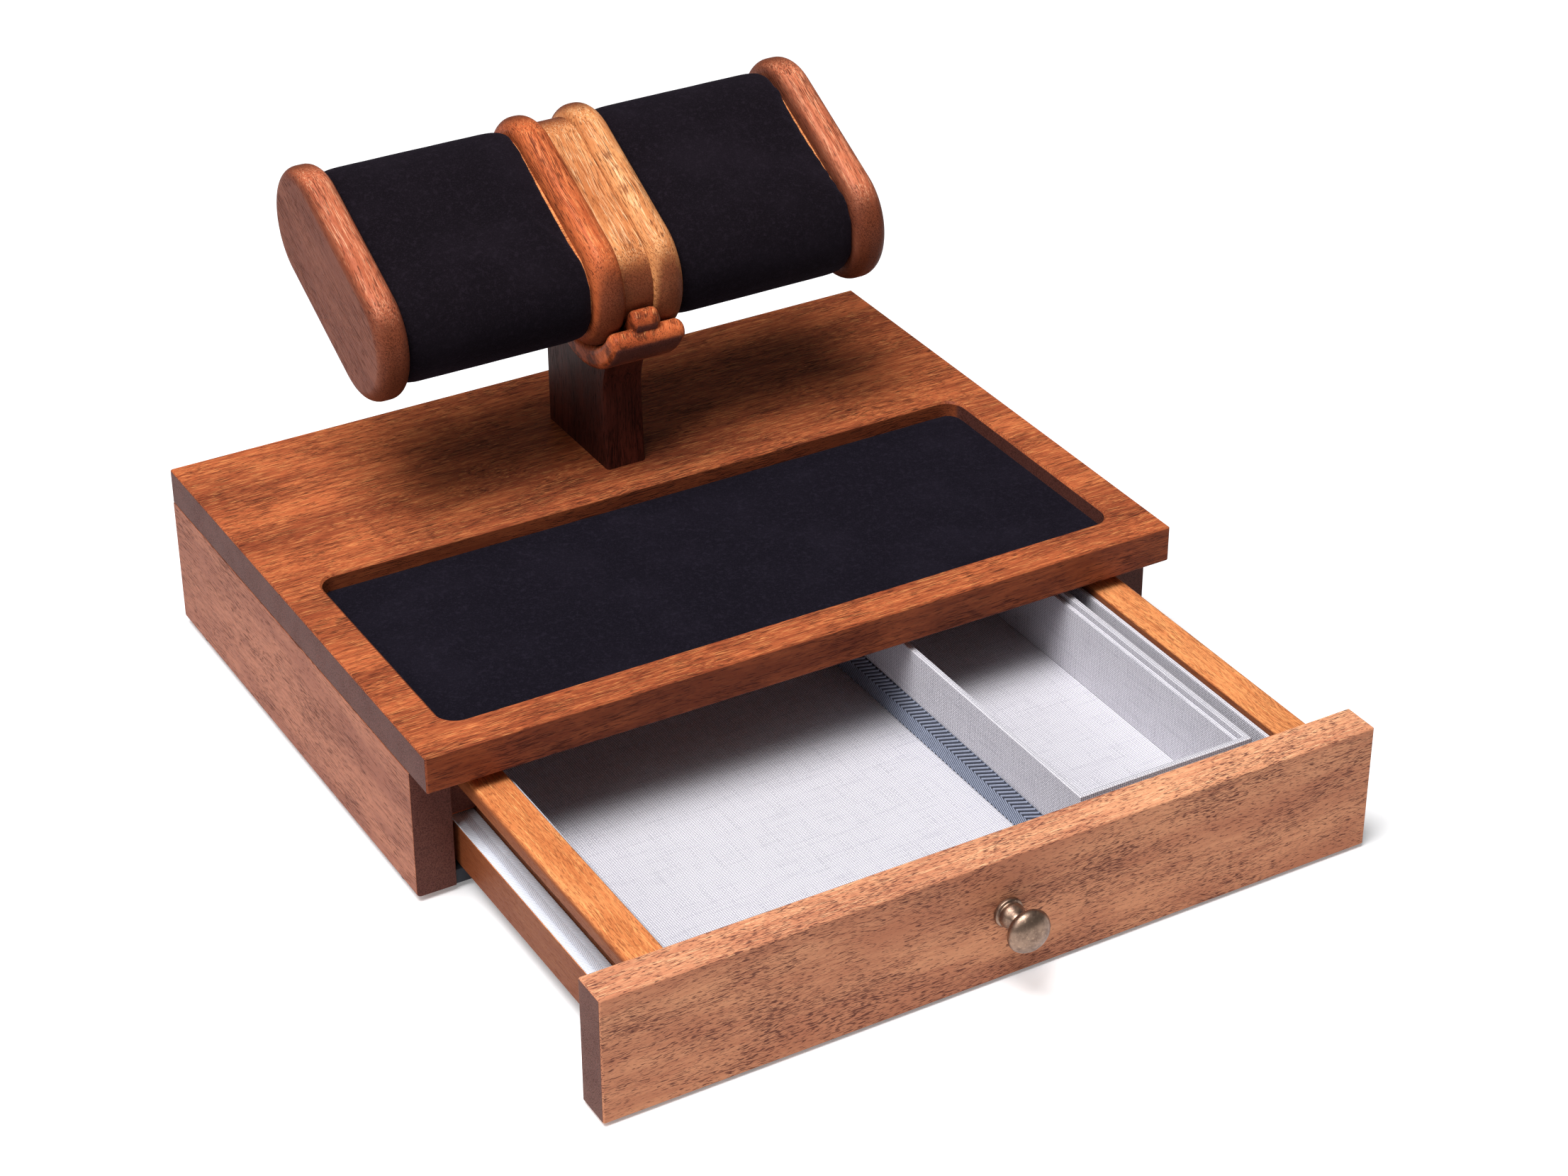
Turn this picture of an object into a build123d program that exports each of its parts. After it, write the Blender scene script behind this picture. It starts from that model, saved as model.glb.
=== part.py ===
from build123d import *
import os
from math import cos, radians, sin

# A wooden valet box: a low case with a drawer, a suede-lined recess in its top,
# and a watch roll that rests in a cradle on a post behind the recess.
# Millimetres. +X is the right end seen from the front, +Y the back, +Z up.
# The origin lies on the table, under the middle of the top board.
# The drawer is modelled pulled out, as it stands in the photograph.

# ---- Case -------------------------------------------------------------------
TOP_WIDTH = 260.0
TOP_DEPTH = 196.0
TOP_THICKNESS = 12.5
EDGE_EASE = 0.5            # small bevel on every board's edges
SIDE_THICKNESS = 13.0
SIDE_HEIGHT = 44.5
SIDE_FOOT_ROUND = 1.6      # rounded lower edges of the side panels
FRONT_OVERHANG = 12.8      # the top board stands this far proud of the case sides
BACK_THICKNESS = 12.0
BASE_THICKNESS = 5.0
BASE_SETBACK = 0.6
BASE_TONGUE_DEPTH = 4.0
BASE_TONGUE_THICKNESS = 2.0
BASE_TONGUE_STOP = 10.0    # the grooves end short of the front, out of sight
FOOT_DIAMETER = 10.0
FOOT_HEIGHT = 2.0
FOOT_INSET = 14.0

# ---- Recess in the top board --------------------------------------------------
RECESS_SIDE_RIM = 13.0
RECESS_DEPTH = 93.8
RECESS_FRONT_RIM = 13.6
RECESS_SINK = 6.2
RECESS_CORNER_RADIUS = 6.5
RECESS_RIM_BEVEL = 0.8
RECESS_LINING_THICKNESS = 1.0
RECESS_LINING_GAP = 0.15

# ---- Loose tenons and screws ------------------------------------------------------
TENON_THICKNESS = 5.0
TENON_WIDTH = 24.0
TENON_IN_TOP = 7.5
TENON_IN_SIDE = 8.5
TENON_IN_BACK = 9.5
TENON_END_DISTANCE = 34.0
DRAWER_TENON_THICKNESS = 3.0
DRAWER_TENON_WIDTH = 6.0
DRAWER_TENON_IN_FRONT = 7.0
DRAWER_TENON_IN_SIDE = 8.0
DRAWER_TENON_IN_BACK = 9.0
DRAWER_TENON_RISE = 8.5
CRADLE_TENON_THICKNESS = 6.0
CRADLE_TENON_WIDTH = 10.0
CRADLE_TENON_IN_CRADLE = 6.5
CRADLE_TENON_IN_POST = 11.5
GLUE_GAP = 0.05            # clearance round tenons and screws
POST_SCREW_LENGTH = 34.0
POST_SCREW_DIAMETER = 4.0
POST_SCREW_HEAD_DIAMETER = 8.0
POST_SCREW_SPACING = 20.0

# ---- Drawer -------------------------------------------------------------------
DRAWER_OPENING = 105.7     # how far the drawer is pulled out at rest
DRAWER_CLOSED_GAP = 0.3    # left between the front and the case when shut
DRAWER_FRONT_INSET = 0.3   # the front ends this far inside the top board's ends
DRAWER_FRONT_HEIGHT = 42.3
DRAWER_FRONT_THICKNESS = 12.5
DRAWER_FRONT_DROP = 1.0    # the front hangs this far below the side panels
DRAWER_SIDE_THICKNESS = 12.0
DRAWER_SIDE_HEIGHT = 34.7
DRAWER_SIDE_GAP = 2.0      # between a drawer side and its case side
DRAWER_FLOAT = 0.8         # between the drawer and the base panel
DRAWER_REAR_GAP = 3.0
DRAWER_TOP_ROUND = 2.0
DRAWER_BACK_THICKNESS = 10.0
DRAWER_BACK_LOWER = 2.0    # the drawer back stops this far below the sides
DRAWER_BOTTOM_THICKNESS = 4.0
DRAWER_REBATE_WIDTH = 6.0
DRAWER_FRONT_GROOVE = 5.0
LEDGE_HEIGHT = 14.0        # drawer side below its runner groove
GROOVE_DEPTH = 8.0
RUNNER_HEIGHT = 14.2
RUNNER_PLAY_ABOVE = 0.3
RUNNER_PLAY_BELOW = 0.7
RUNNER_SIDE_PLAY = 0.7
RUNNER_SETBACK = 4.0
RUNNER_NOSE_ROUND = 3.0
RUNNER_HOUSING = 2.0       # how deep a runner is let into its case side
TAPE_THICKNESS = 0.5
TAPE_EDGE_MARGIN = 0.2

# ---- Drawer lining and tray -----------------------------------------------------
LINING_THICKNESS = 1.5
LINING_SOFT_EDGE = 0.35
LINING_DROP = 2.0          # the wall linings stop this far below the drawer sides
TRAY_WIDTH = 61.3
TRAY_HEIGHT = 29.2
TRAY_WALL = 2.0
TRAY_END_GAP = 0.7
TRAY_SEAT_GAP = 0.3
TRAY_SIDE_GAP = 6.05       # from the tray's right wall to the right wall lining
TRAY_LINING_THICKNESS = 1.5
TRAY_LINING_DROP = 1.8     # the inner frame stops this far below the tray's rim
TRAY_PAD_THICKNESS = 1.5
TRAY_TAPE_HEIGHT = 12.0
TRAY_TAPE_THICKNESS = 0.5

# ---- Knob ---------------------------------------------------------------------
KNOB_HEIGHT_ON_FRONT = 23.4
KNOB_PROJECTION = 15.0
KNOB_ROSE_RADIUS = 4.7
KNOB_ROSE_THICKNESS = 1.5
KNOB_DOME_RADIUS = 3.9
KNOB_DOME_START = 2.6
KNOB_NECK_RADIUS = 2.3
KNOB_NECK_START = 6.2
KNOB_HEAD_START = 7.4
KNOB_HEAD_RADIUS = 7.0
KNOB_WIDEST = 10.8
KNOB_FACET_TURN = 45.0     # each turned curve is cut in facets this far apart
KNOB_CROWN_ANGLE = 50.0    # where the crown's one facet starts
KNOB_BORE_DEPTH = 8.0
KNOB_SCREW_DIAMETER = 3.0
KNOB_SCREW_HEAD_DIAMETER = 7.0
KNOB_SCREW_HEAD_THICKNESS = 2.0

# ---- Post and cradle ------------------------------------------------------------
POST_WIDTH = 14.0
POST_DEPTH = 42.0
POST_FRONT_FROM_EDGE = 122.6   # from the top board's front edge
POST_WAIST_RISE = 26.0
POST_WAIST_SETBACK = 1.0
POST_THROAT_RISE = 42.0
POST_THROAT_FLARE = 5.0
POST_EDGE_BEVEL = 0.7
CRADLE_WIDTH = 26.0
CRADLE_THICKNESS = 7.6
CRADLE_TIP_ANGLE = 174.0       # how far round the roll's front end the cradle reaches
CRADLE_END_BEVEL = 1.7
CRADLE_GAP = 0.3
TONGUE_TIP_ANGLE = 186.0
TONGUE_SIDE_GAP = 0.4

# ---- Watch roll -------------------------------------------------------------------
ROLL_TILT = 27.4               # degrees, the back edge is the higher one
ROLL_CENTRE_FROM_EDGE = 146.8  # from the top board's front edge
ROLL_RISE = 77.4               # roll centre above the top board
ROLL_HALF_SPREAD = 22.0        # half the distance between the two round ends' centres
FLANGE_RADIUS = 20.5
FLANGE_THICKNESS = 10.5
FLANGE_BEVEL = 2.9
HUB_RADIUS = 17.0
HUB_WIDTH = 10.1
PILLOW_LENGTH = 63.8
PILLOW_RADIUS = 18.4           # at the middle of the pillow
PILLOW_END_DRAW = 0.9          # how far the suede draws in at the pillow's ends
PILLOW_SHOULDER = 12.0
PADDING = 4.0
CAP_RADIUS = 20.5
CAP_THICKNESS = 10.8
CAP_BEVEL = 2.6

# ---- Places worked out from the sizes ---------------------------------------------
case_floor_z = FOOT_HEIGHT
top_underside_z = case_floor_z + SIDE_HEIGHT
top_surface_z = top_underside_z + TOP_THICKNESS
front_edge_y = -TOP_DEPTH / 2
back_edge_y = TOP_DEPTH / 2
case_front_y = front_edge_y + FRONT_OVERHANG
back_inner_y = back_edge_y - BACK_THICKNESS
case_inner_x = TOP_WIDTH / 2 - SIDE_THICKNESS
recess_width = TOP_WIDTH - 2 * RECESS_SIDE_RIM
recess_centre_y = front_edge_y + RECESS_FRONT_RIM + RECESS_DEPTH / 2
recess_floor_z = top_surface_z - RECESS_SINK
tongue_low_z = case_floor_z + (BASE_THICKNESS - BASE_TONGUE_THICKNESS) / 2
tongue_front_y = case_front_y + BASE_TONGUE_STOP
side_middle_x = TOP_WIDTH / 2 - SIDE_THICKNESS / 2
side_middle_z = case_floor_z + SIDE_HEIGHT / 2
back_middle_y = back_edge_y - BACK_THICKNESS / 2

front_back_y = case_front_y - DRAWER_CLOSED_GAP - DRAWER_OPENING
front_face_y = front_back_y - DRAWER_FRONT_THICKNESS
front_width = TOP_WIDTH - 2 * DRAWER_FRONT_INSET
drawer_rear_y = back_inner_y - DRAWER_REAR_GAP - DRAWER_OPENING
front_low_z = case_floor_z - DRAWER_FRONT_DROP
drawer_low_z = case_floor_z + BASE_THICKNESS + DRAWER_FLOAT
drawer_top_z = drawer_low_z + DRAWER_SIDE_HEIGHT
drawer_outer_x = case_inner_x - DRAWER_SIDE_GAP
drawer_inner_x = drawer_outer_x - DRAWER_SIDE_THICKNESS
drawer_back_y = drawer_rear_y - DRAWER_BACK_THICKNESS
drawer_back_top_z = drawer_top_z - DRAWER_BACK_LOWER
ledge_z = drawer_low_z + LEDGE_HEIGHT
runner_low_z = ledge_z + TAPE_THICKNESS + RUNNER_PLAY_BELOW
runner_top_z = runner_low_z + RUNNER_HEIGHT
groove_top_z = runner_top_z + RUNNER_PLAY_ABOVE
runner_depth = DRAWER_SIDE_GAP + GROOVE_DEPTH - RUNNER_SIDE_PLAY
runner_front_y = case_front_y + RUNNER_SETBACK
drawer_foot_x = drawer_outer_x - (DRAWER_SIDE_THICKNESS - DRAWER_REBATE_WIDTH) / 2
drawer_back_middle_y = drawer_rear_y - DRAWER_BACK_THICKNESS / 2
drawer_tenon_z = drawer_low_z + DRAWER_TENON_RISE
bottom_top_z = drawer_low_z + DRAWER_BOTTOM_THICKNESS
lining_floor_z = bottom_top_z + LINING_THICKNESS
wall_lining_top_z = drawer_top_z - LINING_DROP

tray_low_z = lining_floor_z + TRAY_SEAT_GAP
tray_top_z = tray_low_z + TRAY_HEIGHT
tray_front_y = front_back_y + LINING_THICKNESS + TRAY_END_GAP
tray_rear_y = drawer_back_y - LINING_THICKNESS - TRAY_END_GAP
tray_length = tray_rear_y - tray_front_y
tray_centre_x = drawer_inner_x - LINING_THICKNESS - TRAY_SIDE_GAP - TRAY_WIDTH / 2
tray_centre_y = (tray_front_y + tray_rear_y) / 2

knob_z = front_low_z + KNOB_HEIGHT_ON_FRONT

post_front_y = front_edge_y + POST_FRONT_FROM_EDGE
post_back_y = post_front_y + POST_DEPTH
post_centre_y = (post_front_y + post_back_y) / 2
roll_y = front_edge_y + ROLL_CENTRE_FROM_EDGE
roll_z = top_surface_z + ROLL_RISE
cradle_inner = FLANGE_RADIUS + CRADLE_GAP
cradle_outer = cradle_inner + CRADLE_THICKNESS
cradle_middle = (cradle_inner + cradle_outer) / 2
flange_inner_x = HUB_WIDTH / 2
pillow_inner_x = flange_inner_x + FLANGE_THICKNESS
cap_inner_x = pillow_inner_x + PILLOW_LENGTH


def section_plane(x):
    """A plane across the box at x, drawn with +Y to the right and +Z up."""
    return Plane(origin=(x, 0, 0), x_dir=(0, 1, 0), z_dir=(1, 0, 0))


def roll_plane(x):
    """A plane across the watch roll at x, its first axis along the oval's length."""
    tilt = radians(ROLL_TILT)
    return Plane(origin=(x, roll_y, roll_z), x_dir=(0, cos(tilt), sin(tilt)), z_dir=(1, 0, 0))


def roll_point(along, across):
    """World Y and Z of a point given in the roll's own section."""
    tilt = radians(ROLL_TILT)
    return (roll_y + along * cos(tilt) - across * sin(tilt),
            roll_z + along * sin(tilt) + across * cos(tilt))


def mirrored(right_part):
    """The left-hand twin of a right-hand part."""
    return mirror(right_part, about=Plane.YZ)


def block(low, high):
    """A plain block between two corners."""
    with BuildPart() as solid:
        with BuildSketch(Plane.XY.offset(low[2])):
            with Locations(((low[0] + high[0]) / 2, (low[1] + high[1]) / 2)):
                Rectangle(high[0] - low[0], high[1] - low[1])
        extrude(amount=high[2] - low[2])
    return solid.part


def both_sides(low, high, gap):
    """A block on the right and its twin on the left, all round larger by the gap."""
    right = block([value - gap for value in low], [value + gap for value in high])
    return [right, mirrored(right)]


def case_tenons(gap=0.0):
    """Loose tenons from the case sides into the top and the back, or their slots."""
    tenons = []
    half_thickness = TENON_THICKNESS / 2
    half_width = TENON_WIDTH / 2
    for y in (case_front_y + TENON_END_DISTANCE, back_inner_y - TENON_END_DISTANCE):
        low = (side_middle_x - half_thickness, y - half_width, top_underside_z - TENON_IN_SIDE)
        high = (side_middle_x + half_thickness, y + half_width, top_underside_z + TENON_IN_TOP)
        tenons += both_sides(low, high, gap)
    low = (case_inner_x - TENON_IN_BACK, back_middle_y - half_thickness, side_middle_z - half_width)
    high = (case_inner_x + TENON_IN_SIDE, back_middle_y + half_thickness, side_middle_z + half_width)
    return tenons + both_sides(low, high, gap)


def drawer_tenons(gap=0.0):
    """Loose tenons at the drawer's four corners, or their slots."""
    half_thickness = DRAWER_TENON_THICKNESS / 2
    low_z = drawer_tenon_z - DRAWER_TENON_WIDTH / 2
    high_z = drawer_tenon_z + DRAWER_TENON_WIDTH / 2
    front = both_sides((drawer_foot_x - half_thickness, front_back_y - DRAWER_TENON_IN_FRONT, low_z),
                       (drawer_foot_x + half_thickness, front_back_y + DRAWER_TENON_IN_SIDE, high_z), gap)
    rear = both_sides((drawer_inner_x - DRAWER_TENON_IN_BACK, drawer_back_middle_y - half_thickness, low_z),
                      (drawer_inner_x + DRAWER_TENON_IN_SIDE, drawer_back_middle_y + half_thickness, high_z),
                      gap)
    return front + rear


def cradle_tenon(gap=0.0):
    """The loose tenon between post and cradle, or its slot."""
    tilt = radians(ROLL_TILT)
    y, z = roll_point(-ROLL_HALF_SPREAD / 2, CRADLE_TENON_IN_CRADLE - cradle_outer + gap)
    upper = Plane(origin=(0, y, z), x_dir=(0, cos(tilt), sin(tilt)), z_dir=(0, -sin(tilt), cos(tilt)))
    with BuildPart() as tenon:
        with BuildSketch(upper):
            Rectangle(CRADLE_TENON_WIDTH + 2 * gap, CRADLE_TENON_THICKNESS + 2 * gap)
        extrude(amount=-(CRADLE_TENON_IN_CRADLE + CRADLE_TENON_IN_POST + 2 * gap))
    return tenon.part


def post_screw_places():
    """X, Y of the screws that hold the post to the top board."""
    return [(0, post_centre_y - POST_SCREW_SPACING / 2), (0, post_centre_y + POST_SCREW_SPACING / 2)]


# ---- Case pieces ------------------------------------------------------------------
def make_top_board():
    with BuildPart() as board:
        with BuildSketch(Plane.XY.offset(top_underside_z)):
            Rectangle(TOP_WIDTH, TOP_DEPTH)
        extrude(amount=TOP_THICKNESS)
        chamfer(board.edges(), EDGE_EASE)
        with BuildSketch(Plane.XY.offset(top_surface_z)):
            with Locations((0, recess_centre_y)):
                RectangleRounded(recess_width, RECESS_DEPTH, RECESS_CORNER_RADIUS)
        extrude(amount=-RECESS_SINK, mode=Mode.SUBTRACT)
        rim = board.faces().filter_by(Plane.XY).sort_by(Axis.Z)[-1].inner_wires()[0]
        chamfer(rim.edges(), RECESS_RIM_BEVEL)
        add(case_slots, mode=Mode.SUBTRACT)
        with Locations(Plane.XY.offset(top_underside_z).rotated((180, 0, 0))):
            with Locations([(x, -y) for x, y in post_screw_places()]):
                CounterSinkHole(POST_SCREW_DIAMETER / 2 + GLUE_GAP,
                                POST_SCREW_HEAD_DIAMETER / 2 + GLUE_GAP, TOP_THICKNESS)
    return board.part


def make_recess_lining():
    with BuildPart() as lining:
        with BuildSketch(Plane.XY.offset(recess_floor_z)):
            with Locations((0, recess_centre_y)):
                RectangleRounded(recess_width - 2 * RECESS_LINING_GAP,
                                 RECESS_DEPTH - 2 * RECESS_LINING_GAP,
                                 RECESS_CORNER_RADIUS - RECESS_LINING_GAP)
        extrude(amount=RECESS_LINING_THICKNESS)
    return lining.part


def make_side_panel_right():
    with BuildPart() as panel:
        with BuildSketch(section_plane(case_inner_x)):
            with Locations(((case_front_y + back_edge_y) / 2, side_middle_z)):
                Rectangle(back_edge_y - case_front_y, SIDE_HEIGHT)
        extrude(amount=SIDE_THICKNESS)
        outer_foot = panel.faces().sort_by(Axis.X)[-1].edges().sort_by(Axis.Z)[0]
        fillet(outer_foot, SIDE_FOOT_ROUND)
        # groove for the base panel's tongue
        with BuildSketch(section_plane(case_inner_x)):
            with Locations(((tongue_front_y + back_inner_y) / 2,
                            tongue_low_z + BASE_TONGUE_THICKNESS / 2)):
                Rectangle(back_inner_y - tongue_front_y, BASE_TONGUE_THICKNESS)
        extrude(amount=BASE_TONGUE_DEPTH, mode=Mode.SUBTRACT)
        # housing for the runner
        with BuildSketch(section_plane(case_inner_x)):
            with Locations(((runner_front_y + back_inner_y) / 2, (runner_low_z + runner_top_z) / 2)):
                Rectangle(back_inner_y - runner_front_y, RUNNER_HEIGHT)
        extrude(amount=RUNNER_HOUSING, mode=Mode.SUBTRACT)
        add(case_slots, mode=Mode.SUBTRACT)
    return panel.part


def make_back_panel():
    with BuildPart() as panel:
        with BuildSketch(Plane.XY.offset(case_floor_z)):
            with Locations((0, back_middle_y)):
                Rectangle(2 * case_inner_x, BACK_THICKNESS)
        extrude(amount=SIDE_HEIGHT)
        with BuildSketch(Plane.XY.offset(tongue_low_z)):
            with Locations((0, back_inner_y + BASE_TONGUE_DEPTH / 2)):
                Rectangle(2 * case_inner_x, BASE_TONGUE_DEPTH)
        extrude(amount=BASE_TONGUE_THICKNESS, mode=Mode.SUBTRACT)
        add(case_slots, mode=Mode.SUBTRACT)
    return panel.part


def make_base_panel():
    front_y = case_front_y + BASE_SETBACK
    with BuildPart() as panel:
        with BuildSketch(Plane.XY.offset(case_floor_z)):
            with Locations((0, (front_y + back_inner_y) / 2)):
                Rectangle(2 * case_inner_x, back_inner_y - front_y)
        extrude(amount=BASE_THICKNESS)
        with BuildSketch(Plane.XY.offset(tongue_low_z)):
            with Locations((0, (tongue_front_y + back_inner_y) / 2)):
                Rectangle(2 * (case_inner_x + BASE_TONGUE_DEPTH), back_inner_y - tongue_front_y)
            with Locations((0, back_inner_y + BASE_TONGUE_DEPTH / 2)):
                Rectangle(2 * case_inner_x, BASE_TONGUE_DEPTH)
        extrude(amount=BASE_TONGUE_THICKNESS)
    return panel.part


def make_runner_right():
    with BuildPart() as runner:
        with BuildSketch(section_plane(case_inner_x - runner_depth)):
            with Locations(((runner_front_y + back_inner_y) / 2, (runner_low_z + runner_top_z) / 2)):
                Rectangle(back_inner_y - runner_front_y, RUNNER_HEIGHT)
        extrude(amount=runner_depth + RUNNER_HOUSING)
        nose = runner.faces().sort_by(Axis.Y)[0].edges().filter_by(Axis.X)
        fillet(nose, RUNNER_NOSE_ROUND)
    return runner.part


def make_post_screws():
    """Flat-head screws: the head's cone first, then the shank."""
    shank_radius = POST_SCREW_DIAMETER / 2
    head_radius = POST_SCREW_HEAD_DIAMETER / 2
    with BuildSketch(Plane.XZ) as profile:
        with BuildLine():
            Polyline((0, 0), (head_radius, 0), (shank_radius, head_radius - shank_radius),
                     (shank_radius, POST_SCREW_LENGTH), (0, POST_SCREW_LENGTH), (0, 0))
        make_face()
    screw = revolve(profile.sketch, axis=Axis.Z)
    with BuildPart() as screws:
        for x, y in post_screw_places():
            add(Pos(x, y, top_underside_z) * screw)
    return screws.part


def make_feet():
    with BuildPart() as feet:
        with BuildSketch(Plane.XY):
            with Locations([(side * side_middle_x, y) for side in (-1, 1)
                            for y in (case_front_y + FOOT_INSET, back_edge_y - FOOT_INSET)]):
                Circle(FOOT_DIAMETER / 2)
            # one more under the middle of the base panel
            Circle(FOOT_DIAMETER / 2)
        extrude(amount=FOOT_HEIGHT)
    return feet.part


# ---- Post and cradle ----------------------------------------------------------------
def make_post():
    seat = oval_block(-CRADLE_WIDTH / 2, CRADLE_WIDTH, cradle_outer)
    slot = cradle_tenon(GLUE_GAP)
    waist = (post_front_y + POST_WAIST_SETBACK, top_surface_z + POST_WAIST_RISE)
    throat = (waist[0] - POST_THROAT_FLARE, top_surface_z + POST_THROAT_RISE)
    with BuildPart() as post:
        with BuildSketch(section_plane(-POST_WIDTH / 2)):
            with BuildLine():
                front = Line((post_front_y, top_surface_z), waist)
                TangentArc(waist, throat, tangent=front % 1)
                Polyline(throat, (throat[0], roll_z), (post_back_y, roll_z),
                         (post_back_y, top_surface_z), (post_front_y, top_surface_z))
            make_face()
        extrude(amount=POST_WIDTH)
        long_edges = post.faces().filter_by(Axis.X).edges().filter_by(
            lambda edge: edge.center().Z > top_surface_z + POST_EDGE_BEVEL)
        chamfer(long_edges, POST_EDGE_BEVEL)
        # the seat follows the cradle's outer curve
        add(seat, mode=Mode.SUBTRACT)
        add(slot, mode=Mode.SUBTRACT)
        with BuildSketch(Plane.XY.offset(top_surface_z)):
            with Locations(post_screw_places()):
                Circle(POST_SCREW_DIAMETER / 2 + GLUE_GAP)
        extrude(amount=POST_SCREW_LENGTH - TOP_THICKNESS, mode=Mode.SUBTRACT)
    return post.part


def crescent(inner, outer, tip_angle, back_inner, back_outer):
    """Closed outline of a band that hugs the roll's lower side and front end."""
    centre = (-ROLL_HALF_SPREAD, 0)
    middle = (inner + outer) / 2
    tip = radians(-tip_angle)
    beyond = tip - (outer - inner) / 2 / middle

    def around(radius, angle):
        return (centre[0] + radius * cos(angle), centre[1] + radius * sin(angle))

    with BuildLine() as outline:
        CenterArc(centre, inner, -tip_angle, tip_angle - 90)
        Line((-ROLL_HALF_SPREAD, -inner), (back_inner, -inner))
        Line((back_inner, -inner), (back_outer, -outer))
        Line((back_outer, -outer), (-ROLL_HALF_SPREAD, -outer))
        CenterArc(centre, outer, -tip_angle, tip_angle - 90)
        ThreePointArc(around(inner, tip), around(middle, beyond), around(outer, tip))
    return outline.line


def back_end(across):
    """Where the post's back plane cuts the roll's section at this depth."""
    tilt = radians(ROLL_TILT)
    return (post_back_y - roll_y + across * sin(tilt)) / cos(tilt)


def make_cradle():
    tongue_inner = HUB_RADIUS + CRADLE_GAP
    tongue_width = HUB_WIDTH - 2 * TONGUE_SIDE_GAP
    body_outline = crescent(cradle_inner, cradle_outer, CRADLE_TIP_ANGLE,
                            back_end(-cradle_inner), back_end(-cradle_outer))
    tongue_outline = crescent(tongue_inner, cradle_middle, TONGUE_TIP_ANGLE,
                              back_end(-tongue_inner), back_end(-cradle_middle))
    slot = cradle_tenon(GLUE_GAP)
    with BuildPart() as cradle:
        with BuildSketch(roll_plane(-CRADLE_WIDTH / 2)):
            add(body_outline)
            make_face()
        extrude(amount=CRADLE_WIDTH)
        chamfer(cradle.faces().filter_by(Axis.X).edges(), CRADLE_END_BEVEL)
        with BuildSketch(roll_plane(-tongue_width / 2)):
            add(tongue_outline)
            make_face()
        extrude(amount=tongue_width)
        add(slot, mode=Mode.SUBTRACT)
    return cradle.part


# ---- Watch roll -------------------------------------------------------------------
def oval_block(start_x, length, radius, edge_bevel=0.0):
    """A block of the roll's oval section from start_x, with its end edges bevelled."""
    with BuildPart() as block:
        with BuildSketch(roll_plane(start_x)):
            SlotCenterToCenter(2 * ROLL_HALF_SPREAD, 2 * radius)
        extrude(amount=length)
        if edge_bevel > 0:
            chamfer(block.faces().filter_by(Axis.X).edges(), edge_bevel)
    return block.part


def make_pillow_cover_right():
    """A padded suede sleeve: fuller in the middle, drawn in at both ends."""
    stations = [(0.0, PILLOW_END_DRAW), (PILLOW_SHOULDER, 0.0),
                (PILLOW_LENGTH - PILLOW_SHOULDER, 0.0), (PILLOW_LENGTH, PILLOW_END_DRAW)]
    with BuildPart() as cover:
        for offset, draw in stations:
            with BuildSketch(roll_plane(pillow_inner_x + offset)):
                SlotCenterToCenter(2 * ROLL_HALF_SPREAD, 2 * (PILLOW_RADIUS - draw))
        loft(ruled=True)
        with BuildSketch(roll_plane(pillow_inner_x)):
            SlotCenterToCenter(2 * ROLL_HALF_SPREAD, 2 * (PILLOW_RADIUS - PADDING))
        extrude(amount=PILLOW_LENGTH, mode=Mode.SUBTRACT)
    return cover.part


# ---- Drawer -----------------------------------------------------------------------
def make_drawer_front():
    with BuildPart() as front:
        with BuildSketch(Plane.XY.offset(front_low_z)):
            with Locations((0, (front_face_y + front_back_y) / 2)):
                Rectangle(front_width, DRAWER_FRONT_THICKNESS)
        extrude(amount=DRAWER_FRONT_HEIGHT)
        chamfer(front.edges(), EDGE_EASE)
        # groove for the drawer bottom
        with BuildSketch(Plane.XY.offset(drawer_low_z)):
            with Locations((0, front_back_y - DRAWER_FRONT_GROOVE / 2)):
                Rectangle(2 * (drawer_inner_x + DRAWER_REBATE_WIDTH), DRAWER_FRONT_GROOVE)
        extrude(amount=DRAWER_BOTTOM_THICKNESS, mode=Mode.SUBTRACT)
        inner = Plane(origin=(0, front_back_y, 0), x_dir=(1, 0, 0), z_dir=(0, -1, 0))
        add(drawer_slots, mode=Mode.SUBTRACT)
        # counterbore and hole for the knob's screw
        with BuildSketch(inner):
            with Locations((0, knob_z)):
                Circle(KNOB_SCREW_HEAD_DIAMETER / 2 + GLUE_GAP)
        extrude(amount=KNOB_SCREW_HEAD_THICKNESS, mode=Mode.SUBTRACT)
        with BuildSketch(inner):
            with Locations((0, knob_z)):
                Circle(KNOB_SCREW_DIAMETER / 2 + GLUE_GAP)
        extrude(amount=DRAWER_FRONT_THICKNESS, mode=Mode.SUBTRACT)
    return front.part


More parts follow.
